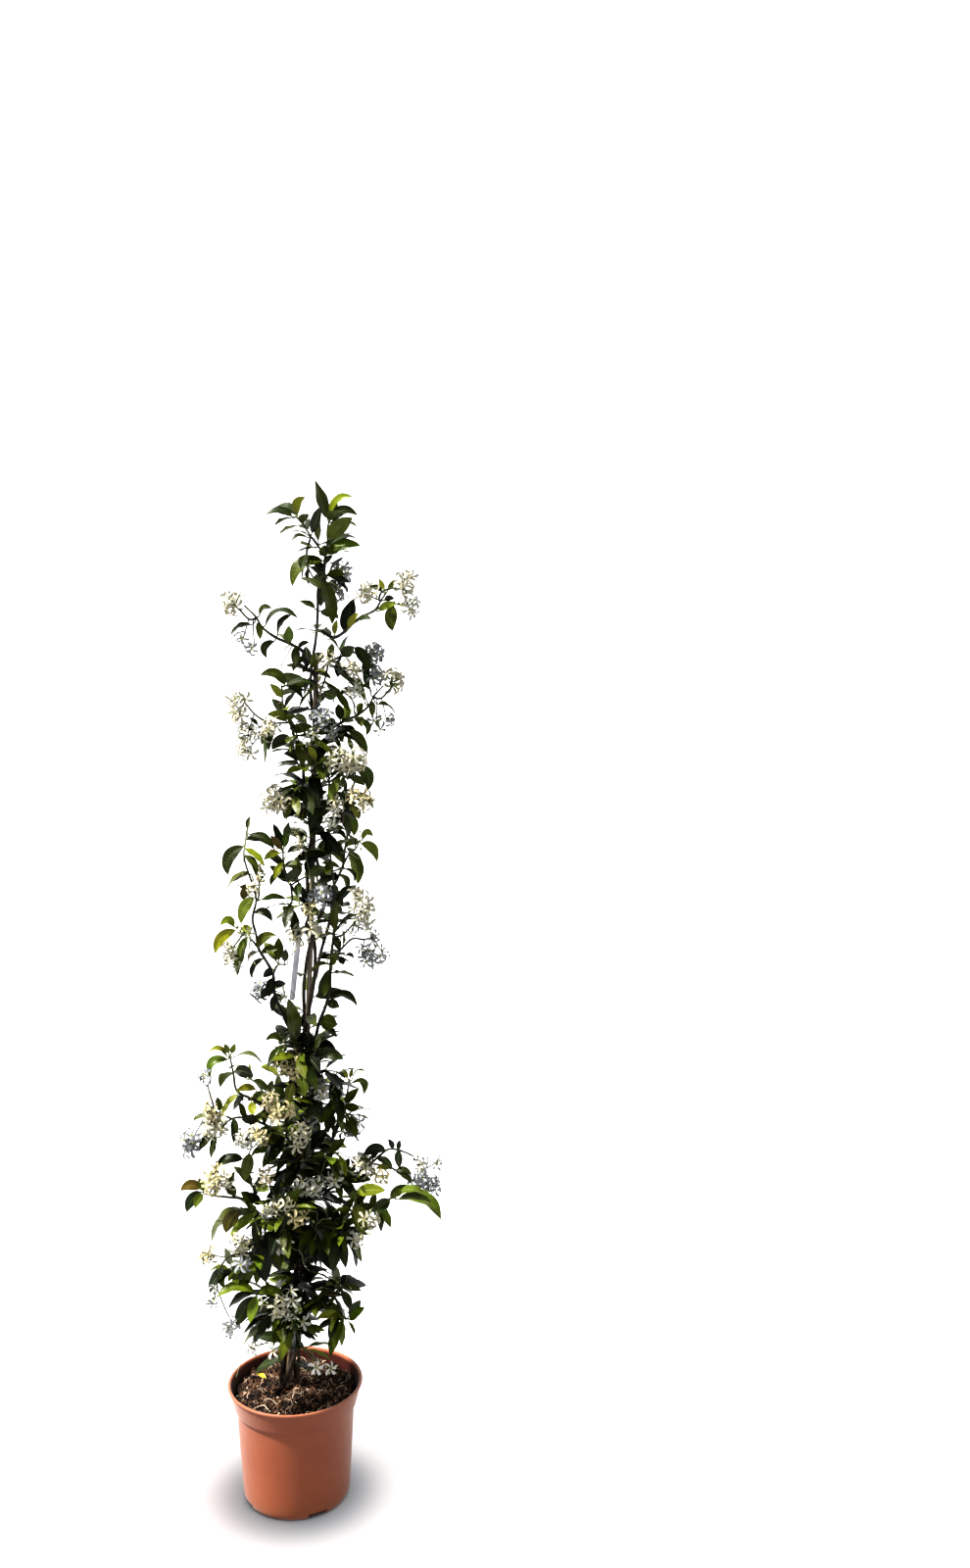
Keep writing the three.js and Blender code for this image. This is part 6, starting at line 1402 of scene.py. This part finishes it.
def filling_plan(line, added):
    """A leaf at some point of the line, or None if it would be in the way of others or too far out."""
    run = line["points"]
    i = int(rng.integers(1, len(run) - 1)) if len(run) > 2 else 1
    root, tangent = run[i], unit(run[min(i + 1, len(run) - 1)] - run[i - 1])
    cane = cane_at(root[2])
    _, widest, share = next(row for row in SPREAD if root[2] < row[0])
    if root[2] < FILL_ROOT or rng.random() > share:
        return None
    outwards = (root - cane) * (1, 1, 0)
    outwards = outwards / max(length(outwards), 12)
    across = unit(np.cross(rng.normal(0, 1, 3), tangent))
    way = unit(across + tangent * rng.uniform(0, 0.8) + outwards * 0.35 + np.array([0, -0.15, -0.2]))
    reach = rng.uniform(22, 42)
    base = root + way * rng.uniform(4, 7)
    tip = base + way * reach - np.array([0, 0, 0.14 * reach])
    if math.hypot(tip[0] - cane[0], tip[1]) > widest or tip[2] < FILL_TIP:
        return None
    # The photo shows the cane here, so nothing fills the room before it
    if root[1] < 8 and 640 < tip[2] < 760 and -24 < (root[0] + tip[0]) / 2 - cane[0] < 14:
        return None
    lift = np.array([0, 0, 1]) - way * way[2]
    upper = unit(lift + rng.normal(0, 0.45, 3) + np.array([0, -0.25, 0]))
    middle = (base + tip) / 2 + unit(lift) * 0.15 * reach
    half = 0.2 * reach
    side = unit(np.cross(tip - base, upper)) * half * 0.75
    marks = []
    for u in (0.15, 0.35, 0.55, 0.75, 1.0):
        spine = bow(base, middle, tip, u)
        marks += [spine, spine + side * math.sin(math.pi * u), spine - side * math.sin(math.pi * u)]
    if min(settled_leaves.find(mark)[2] for mark in marks) < FILL_GAP:
        return None
    if np.linalg.norm(added[None] - np.array(marks)[:, None], axis=-1).min() < FILL_GAP:
        return None
    # Painted shade: darker tones near the cane.
    tones = FILL_TONES_SHADED_INSIDE if math.hypot(root[0] - cane[0], root[1]) < INSIDE else FILL_TONES_OUTSIDE
    tone = tones[int(rng.integers(len(tones)))]
    return dict(root=root, base=base, middle=middle, tip=tip, upper=upper, half=half, tone=tone, coarse=True)


added, fills = np.full((1, 3), 1e6), 0
for _ in range(FILL_TRIES):
    if fills >= FILLS:
        break
    pool = low_lines if fills % 3 == 0 else stem_lines
    plan = filling_plan(pool[int(rng.integers(len(pool)))], added)
    if plan:
        blades = leaf_skins[zone_at(plan["root"][2], LEAF_ZONES)]
        added = np.concatenate([added, grow_leaf(blades, plan, Place())])
        fills += 1
pieces(leaf_skins, "leaves", [LEAF_TOP, LEAF_BELOW, STEM], "leaf")

# ---- Fine curling stalks between the leaves, half of them with a bud ----
for _ in range(TENDRILS):
    run = shoot_lines[int(rng.integers(len(shoot_lines)))]["points"]
    start = run[int(rng.integers(1, len(run)))]
    off = math.hypot(start[0] - cane_at(start[2])[0], start[1])
    if off > TENDRIL_REACH or (start[2] > 640 and rng.random() < 0.55):
        continue
    aim = unit(rng.normal(0, 1, 3) + np.array([0, -0.5, 0.1]))
    path = [start]
    for _ in range(4):
        aim = unit(aim + rng.normal(0, 0.45, 3) + np.array([0, 0, -0.12]))
        path.append(path[-1] + aim * rng.uniform(4, 8.5))
    if min(point[2] for point in path) < PLANT_FOOT:
        continue
    zone = zone_at(start[2], BLOOM_ZONES)
    kind = TENDRIL_TONES[int(rng.integers(len(TENDRIL_TONES)))]
    tone = np.array(STEM_TONES[kind]) * rng.uniform(0.45, 1.15)
    rod(stalk_skins[zone * STEM_ZONES // BLOOM_ZONES], curve(path, 10), np.linspace(0.66, 0.46, 11), 5, tone)
    if rng.random() < 0.5:
        grow_bud(bloom_skins[zone], path[-1], unit(path[-1] - path[-2]), rng.uniform(0.5, 0.95), BUD_TONE)
pieces(bloom_skins, "flowers", [PETAL], "flower", 50)
pieces(stalk_skins, "flower_stalks", [STEM], "vine_bark")

# ---- Bare twigs. The thin ones spring from the nearest stem ----
joints = np.array([point for line in stem_lines for point in line["points"]])
for text, radius, kind in TWIGS:
    points = [at(row) for row in rows(text)]
    if radius < 1:
        gaps = [np.linalg.norm(joints - end, axis=1) for end in (points[0], points[-1])]
        if gaps[1].min() < gaps[0].min():
            points, gaps = points[::-1], gaps[::-1]
        points = [joints[int(gaps[0].argmin())]] + points
    count = 6 * (len(points) - 1)
    skin = shoot_skins[0 if points[0][2] > UPPER_PART else 1]
    rod(skin, curve(points, count), np.linspace(radius, radius * 0.7, count + 1), 6, STEM_TONES[kind])
pieces(shoot_skins, "shoot_stems", [STEM], "vine_bark")


# ---- Twining main stems and the cane ----
def hump(off, wide):
    """A smooth rise to 1 where off is 0."""
    return np.exp(-((off / wide) ** 2))


for name, stem in MAIN_STEMS.items():
    skin = Skin(name)
    count = int((stem["top"] - STEM_BOTTOM) / ROD_STEP)
    share = np.linspace(0, 1, count + 1)
    swell = 1 + 0.05 * np.sin(share * count / 7 + rng.uniform(0, 6)) + rng.normal(0, 0.02, count + 1)
    swell += 0.16 * hump((share * count * ROD_STEP + rng.uniform(0, 50)) % 62 - 31, 3.2)
    radii = lerp(stem["foot"], stem["tip"], share) * swell * (1.05 + 0.3 * np.exp(-share * count / 22))
    tone = BARK * (1 - share[:, None] * 0.35) * rng.uniform(0.85, 1.1)
    rod(skin, [vine_at(stem, s) for s in share], radii, 12, tone, seed=rng.uniform(0, 40))
    skin.piece(name + "_bark", [STEM], "vine_bark")

# The cane swells slightly at each joint, with a dark scar in it
skin = Skin("bamboo_cane")
heights = np.linspace(CANE_BOTTOM, CANE_TOP, int((CANE_TOP - CANE_BOTTOM) / ROD_STEP) + 1)
off = np.abs(heights[:, None] - np.array([96, 238, 372, 512, 645, 783, 914, 1050]))
radii = lerp(CANE_RADIUS, CANE_RADIUS - 0.3, (heights - CANE_BOTTOM) / (CANE_TOP - CANE_BOTTOM)) * 0.97
radii = radii + 0.45 * hump(off - 1.5, 2.2).sum(axis=1) - 0.25 * hump(off, 1.6).sum(axis=1)
tone = BAMBOO * (1 - 0.6 * hump(off, 3.0).sum(axis=1)[:, None])
rod(skin, [cane_at(z) for z in heights], radii, 18, tone, blunt=0.8)
skin.piece("cane", [CANE], "bamboo")

# ---- Ties and label ----
# A strip's outline: how far out each corner is, and how far up as a share of half the width.
TIE_EDGE = [
    (-0.8, -1), (-0.35, -1.0), (0, -0.8), (0.12, -0.3), (0.12, 0.3), (0, 0.8), (-0.35, 1.0), (-0.8, 1),
    (-0.72, 0.3), (-0.72, -0.3),
]
LOOP_EDGE = [(-0.7, -1), (-0.3, -1.02), (0, -0.85), (0.08, 0), (0, 0.85), (-0.3, 1.02), (-0.7, 1), (-0.62, 0)]
FRONT = np.array([0.0, -1.0, 0.0])


def strip_loop(skin, centre, edge, count, outer, half, dent=0.0, sway=0.0):
    """A closed strip round an upright axis."""
    around = np.linspace(0, 2 * np.pi, count + 1)[:-1, None]
    out, up = np.array(edge, float).T
    reach = outer + dent * np.sin(3 * around + 1) + out
    rings = round_axis(centre, around, reach, up * half + sway * np.sin(around + 0.6))
    skin.add(rings.reshape(-1, 3), [grid_faces(loops(count, len(edge), both=True))])


def cane_tie(number, height):
    """A soft strip round the cane, as wide as the CAD's, with its end laid over it."""
    node = f"cane_tie_{number}"
    skin = Skin(node)
    low, high = (np.array(corner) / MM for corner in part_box(node))
    centre, outer = (low + high) / 2, (high[1] - low[1]) / 2
    centre[2] = height
    strip_loop(skin, centre, TIE_EDGE, 48, outer - 0.25, TIE_HALF_WIDTH * 0.95, 0.075, 0.3)
    s, t = sheet_axes(8, 5)
    reach = outer - 0.1 + 1.4 * s * s + 0.2 * (1 - t * t)
    grid = round_axis(centre, -2.1 + 1.1 * s, reach, 0.2 + t * TIE_HALF_WIDTH * 0.82 * (1 - 0.35 * s ** 4))
    closed_sheet(skin, grid, grid[4, 2] - centre, 0.6)
    skin.piece(f"tie_{number}", [TIE], "tie_plastic", 40)


def label():
    """A bare strip that hangs from its loop round the cane."""
    skin = Skin("plant_label")
    low, high = (np.array(corner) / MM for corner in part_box("plant_label"))
    centre, outer = cane_at(LABEL_LOOP), (high[1] - low[1]) / 2
    strip_loop(skin, centre, LOOP_EDGE, 40, outer, 2.5)
    head, foot = centre + np.array([-outer + 0.4, 0, 1.5]), at(LABEL_FOOT)
    s, t = sheet_axes(24, 7)
    spine = head * (1 - s) + foot * s + FRONT * (1.6 * np.sin(np.pi * s) + 0.4)
    right = unit(np.cross(unit(foot - head), FRONT))
    wide = 3.5 * np.minimum(1, 0.55 + 12 * s) * np.where(s > 0.965, 1 - ((s - 0.965) / 0.035) ** 2 * 0.3, 1)
    grid = spread(spine, (right, wide * t), (FRONT, 0.35 * (1 - t * t)))
    closed_sheet(skin, grid, FRONT, 0.7)
    skin.piece("label", [LABEL], "label_plastic", 40)


for k, height in enumerate(TIE_HEIGHTS):
    cane_tie(k + 1, height)
label()


# ---- Pot ----
def cut_prism(obj, one_end, other_end):
    """Cuts the prism between two outlines out of the object."""
    n = len(one_end)
    faces = [list(range(n))[::-1], list(range(n, 2 * n))]
    faces += [[k, (k + 1) % n, (k + 1) % n + n, k + n] for k in range(n)]
    cutter = new_object("cutter", [*one_end, *other_end], faces)
    modifier = obj.modifiers.new("cut", "BOOLEAN")
    modifier.object, modifier.operation, modifier.solver = cutter, "DIFFERENCE", "EXACT"
    graph = bpy.context.evaluated_depsgraph_get()
    mesh = bpy.data.meshes.new_from_object(obj.evaluated_get(graph))
    obj.modifiers.clear()
    obj.data = mesh
    bpy.data.objects.remove(cutter)


def inside_radius(z):
    return lerp(69, 75, (z - 18) / (124 - 18)) - 2


# Rows of radius and height: up the outside from the middle of the foot, and down the inside.
POT_PROFILE = [
    (0, 0), (20, 0), (33.4, 0), (34.2, 0.5), (35.4, 3.2), (36.6, 4), (51.4, 4), (52.6, 3.4), (53.6, 0.6),
    (54.4, 0), (62.3, 0), (63.9, 0.7), (66.0, 2.4), (67.5, 5), (68.3, 9), (69, 18), (70.45, 43.4), (71.9, 69),
    (73.3, 94), (74.8, 121), (75, 122.3), (75.4, 122.9), (76.9, 123.5), (77.7, 123.8), (78.15, 124.6),
    (78.5, 126.5), (80.3, 133), (82.2, 141), (83.9, 147.2), (84.3, 149.2), (85.2, 149.8), (85.85, 150.4),
    (86, 151.4), (85.8, 152.4), (85.1, 152.95), (83.8, 153), (83, 152.7), (82.3, 151.6), (81, 146),
    (78.9, 137.4), (76.4, 128), (75.2, 126.1), (73.0, 124.9), (72.8, 123.5), (inside_radius(96), 96),
    (inside_radius(54), 54), (inside_radius(18), 18), (64.6, 10), (62, 7), (52, 6.2), (35, 6), (32, 2.4),
    (16, 2), (0, 2),
]
POT_SEGMENTS, DRAINS, DRAIN_AT, DRAIN_RADIUS, NOTCHES = 144, 6, 45, 4.5, 4
NOTCH = [(-13, -4), (13, -4), (13, 5.6), (12.5, 6.9), (11.2, 7.6), (-11.2, 7.6), (-12.5, 6.9), (-13, 5.6)]

profile = np.array(POT_PROFILE, float)
angles = 2 * np.pi * np.arange(POT_SEGMENTS) / POT_SEGMENTS
rings = round_axis(np.zeros(3), angles, profile[1:-1, :1], profile[1:-1, 1:])
side_faces, end_faces = tube_faces(len(rings), POT_SEGMENTS)
ends = [(0, 0, profile[0, 1]), (0, 0, profile[-1, 1])]
pot = new_object("nursery_pot", np.concatenate([rings.reshape(-1, 3), ends]), side_faces.tolist() + end_faces)
for i in range(DRAINS):
    angle = 2 * math.pi * (i + 0.5) / DRAINS
    middle = np.array([DRAIN_AT * math.cos(angle), DRAIN_AT * math.sin(angle), 0])
    circle = np.linspace(0, 2 * np.pi, 25)[:-1]
    cut_prism(pot, *(round_axis(middle, circle, DRAIN_RADIUS, height) for height in (-4, 14)))
for i in range(NOTCHES):
    turn = turn_about_z(math.radians(-60 + 90 * i))
    cut_prism(pot, *([turn @ (reach, x, z) for x, z in NOTCH] for reach in (52.8, 72.8)))
pot.data.materials.clear()
pot.data.materials.append(POT)
pot.data.shade_smooth()
pot.data.set_sharp_from_angle(angle=math.radians(38))
stand_for(pot, ["pot"])


# ---- Soil ----
SOIL_DARK, SOIL_BROWN = np.array([(0.013, 0.007, 0.005), (0.06, 0.032, 0.018)])
CHIP_TONE = np.array((0.09, 0.05, 0.028))
FIBRE_TONES = [(0.46, (0.055, 0.028, 0.017)), (0.86, (0.25, 0.14, 0.08)), (1.1, (0.68, 0.54, 0.42))]
SOIL_RINGS, SOIL_SPOKES, SOIL_RADIUS = 52, 150, 77.6


def bumps(x, y, scale, seed):
    """Smooth unevenness between -1 and 1."""
    value = 0
    for k in range(5):
        a = seed + 2.1 * k
        wave = np.sin((x * math.cos(a) + y * math.sin(a)) / scale * (1 + 0.37 * k) + a * 3)
        value = value + wave / (1.3 + 0.5 * k)
    return value / 2.2


def soil_height(x, y):
    base = np.interp(np.hypot(x, y), [0, 30, 60, 77.7], [148, 144.5, 141, 136.3])
    return base + 1.9 * bumps(x, y, 13, 1.0) + 1.3 * bumps(x, y, 5.5, 4.0) + 0.7 * bumps(x, y, 2.4, 8.0)


def random_spot(reach):
    """A place on the soil: its distance from the middle, its x and its y."""
    r, angle = reach * math.sqrt(rng.random()), any_angle()
    return r, r * math.cos(angle), r * math.sin(angle)


skin = Skin("soil")
radius = np.linspace(0, 1, SOIL_RINGS + 1)[1:, None] ** 0.8 * SOIL_RADIUS
angles = 2 * np.pi * np.arange(SOIL_SPOKES) / SOIL_SPOKES
x, y = radius * np.cos(angles), radius * np.sin(angles)
z = np.minimum(soil_height(x, y), 150) + rng.normal(0, 0.28, x.shape)
rings = np.stack([x, y, z], axis=-1)
for share, height in ((0.965, 128.3), (0.93, 125.0), (0.75, 10.0)):
    lower = np.stack([x[-1] * share, y[-1] * share, np.full(SOIL_SPOKES, height)], axis=-1)
    rings = np.concatenate([rings, lower[None]])
points = np.concatenate([rings.reshape(-1, 3), [[0, 0, soil_height(0, 0)], [0, 0, 10]]])
tone = np.array((0.012, 0.007, 0.005)) * (0.7 + 0.5 * rng.random((len(points), 1)))
skin.add(points, tube_faces(len(rings), SOIL_SPOKES, flip=False), tone=tone)
skin.piece("soil_bed", [SOIL], "potting_soil", 180)

# A crumb is an icosahedron with its corners moved
skin = Skin("soil")
fifths = np.arange(5) * 1.2566
ico, ico_faces = [(0, 0, 1)], []
for turn, height in ((0, 0.447), (0.6283, -0.447)):
    ico += [(0.894 * math.cos(a + turn), 0.894 * math.sin(a + turn), height) for a in fifths]
ico = np.array(ico + [(0, 0, -1)])
for k in range(5):
    a, b, c, d = 1 + k, 1 + (k + 1) % 5, 6 + k, 6 + (k + 1) % 5
    ico_faces += [[0, a, b], [a, c, b], [c, d, b], [11, d, c]]
for _ in range(CRUMBS):
    r, x, y = random_spot(76.2)
    size = min(rng.gamma(2.0, 0.72) + 0.45, 4.6, 77.8 - r)
    if size < 0.3:
        continue
    shape = ico * rng.uniform(0.6, 1.35, (12, 1)) * rng.uniform(0.6, 1.2, 3) * size
    spin = turn_about_z(rng.uniform(0, 6.28))
    shade = rng.uniform(0.4, 1.7)
    tone = (SOIL_DARK if rng.random() < 0.8 else SOIL_BROWN) * shade
    skin.add(shape @ spin.T + np.array([x, y, soil_height(x, y) + size * 0.25]), [ico_faces], tone=tone)
skin.piece("soil_crumbs", [SOIL], "potting_soil", 25)

skin = Skin("soil")
for k in range(FIBRES):
    _, *point = random_spot(74.6)
    long = k < LONG_FIBRES
    heading, bend = any_angle(), rng.normal(0, 0.22 if long else 0.72)
    count = int(rng.integers(7, 13))
    step = rng.uniform(1.8, 2.8) if long else rng.uniform(1.1, 2.1)
    rise = rng.uniform(0.8, 4.2) if rng.random() < 0.75 else rng.uniform(3.5, 7.5)
    path = []
    for i in range(count):
        if np.hypot(*point) > 76.8:
            break
        lift = rise * math.sin(math.pi * i / (count - 1))
        path.append(np.array([*point, soil_height(*point) + 0.2 + lift]))
        heading += bend + rng.normal(0, 0.28)
        point = point + step * np.array([math.cos(heading), math.sin(heading)])
    if len(path) < 4:
        continue
    kind = rng.uniform(0.8, 1) if long else rng.random()
    tone = np.array(next(tone for share, tone in FIBRE_TONES if kind < share))
    thick = rng.uniform(0.45, 0.75) if long else rng.uniform(0.26, 0.62)
    rod(skin, path, np.linspace(thick, thick * 0.6, len(path)), 4, tone * rng.uniform(0.6, 1.3))
for _ in range(CHIPS):
    _, x, y = random_spot(70)
    reach, half = rng.uniform(2, 5.5), rng.uniform(0.7, 2)
    heading, lean = rng.uniform(0, 6.28), rng.normal(0, 0.35)
    ahead = np.array([math.cos(heading), math.sin(heading), math.sin(lean) * 0.6])
    aside = np.array([-math.sin(heading), math.cos(heading), rng.normal(0, 0.25)])
    s, t = sheet_axes(5, 4, -1)
    spine = np.array([x, y, soil_height(x, y) + 1.1]) + s * ahead * reach
    grid = spread(spine, (aside, t * (1 - 0.35 * s * s) * half)) + rng.normal(0, 0.14, (5, 4, 3))
    closed_sheet(skin, grid, np.array([0, 0, 1]), 0.5, tone=CHIP_TONE * rng.uniform(0.5, 1.9))
skin.piece("soil_fibres", [SOIL], "potting_soil", 60)

# A yellowed leaf on the soil
skin = Skin("soil")
ground = np.array([0, 0, soil_height(-45, 18) + 2.6])
spots = dict(root=(-53, 22.8, 1), base=(-51, 21.6, 1.9), middle=(-45, 17, 4), tip=(-39.5, 11.5, 0.6))
plan = {key: ground + spot for key, spot in spots.items()}
grow_leaf(skin, dict(plan, upper=unit(np.array([0.1, -0.5, 1])), half=3.2, tone="f"), Place())
skin.piece("fallen_leaf", [LEAF_TOP, LEAF_BELOW, STEM], "leaf")

# ---- Stage: a floor that curves up behind ----
bend = [(math.sin(a), 1 - math.cos(a)) for a in np.linspace(0, math.pi / 2, 25)[1:]]
path = [(-7000, 0), (3000, 0)] + [(3000 + 2500 * y, 2500 * z) for y, z in bend] + [(5500, 9000)]
faces = [[2 * k, 2 * k + 1, 2 * k + 3, 2 * k + 2] for k in range(len(path) - 1)]
floor = new_object("studio_floor", [(x, y, z) for y, z in path for x in (-9000, 9000)], faces, floor_look())
floor.data.shade_smooth()
floor.visible_diffuse = False

scene = bpy.context.scene
scene.world = bpy.data.worlds.new("studio")
scene.world.use_nodes = True
background = scene.world.node_tree.nodes["Background"].inputs
background["Color"].default_value, background["Strength"].default_value = (1, 1, 1, 1), 0.4


def lamp(name, kind, energy, colour=(1, 1, 1), toward=(0, 0, -1), **settings):
    """A light that shines along toward."""
    light = bpy.data.lights.new(name, kind)
    light.energy, light.color = energy, colour
    for key, value in settings.items():
        setattr(light, key, value)
    obj = link(bpy.data.objects.new(name, light))
    obj.rotation_euler = Vector(toward).to_track_quat("-Z", "Y").to_euler()
    return obj


def light_only(obj, name, exclude=False):
    """Limits a light to the floor, or to all else."""
    group = bpy.data.collections.new(name)
    group.objects.link(floor)
    if exclude:
        group.collection_objects[0].light_linking.link_state = "EXCLUDE"
    obj.light_linking.receiver_collection = group


fill = lamp("fill", "AREA", 7, (0.95, 0.97, 1), FILL_LIGHT, shape="DISK", size=2.5)
fill.location = (-2.2, -2.6, 1.6)
key = lamp("key", "SUN", 6.2, (1, 0.97, 0.91), KEY_LIGHT, angle=math.radians(6))
overhead = lamp("overhead", "SUN", 2.1, angle=math.radians(100))
# The key light passes the floor by, which the even light from overhead shades softly round the pot
light_only(key, "all_but_floor", exclude=True)
light_only(overhead, "only_floor")

camera = link(bpy.data.objects.new("camera", bpy.data.cameras.new("camera")))
camera.data.lens, camera.data.sensor_width, camera.data.clip_end = CAMERA_LENS, CAMERA_SENSOR, 60
camera.location = EYE * MM
camera.rotation_euler = (math.radians(90 - CAMERA_DIP), 0, 0)
bpy.context.scene.camera = camera
scene.view_settings.view_transform = "Standard"
scene.view_settings.look = "High Contrast"
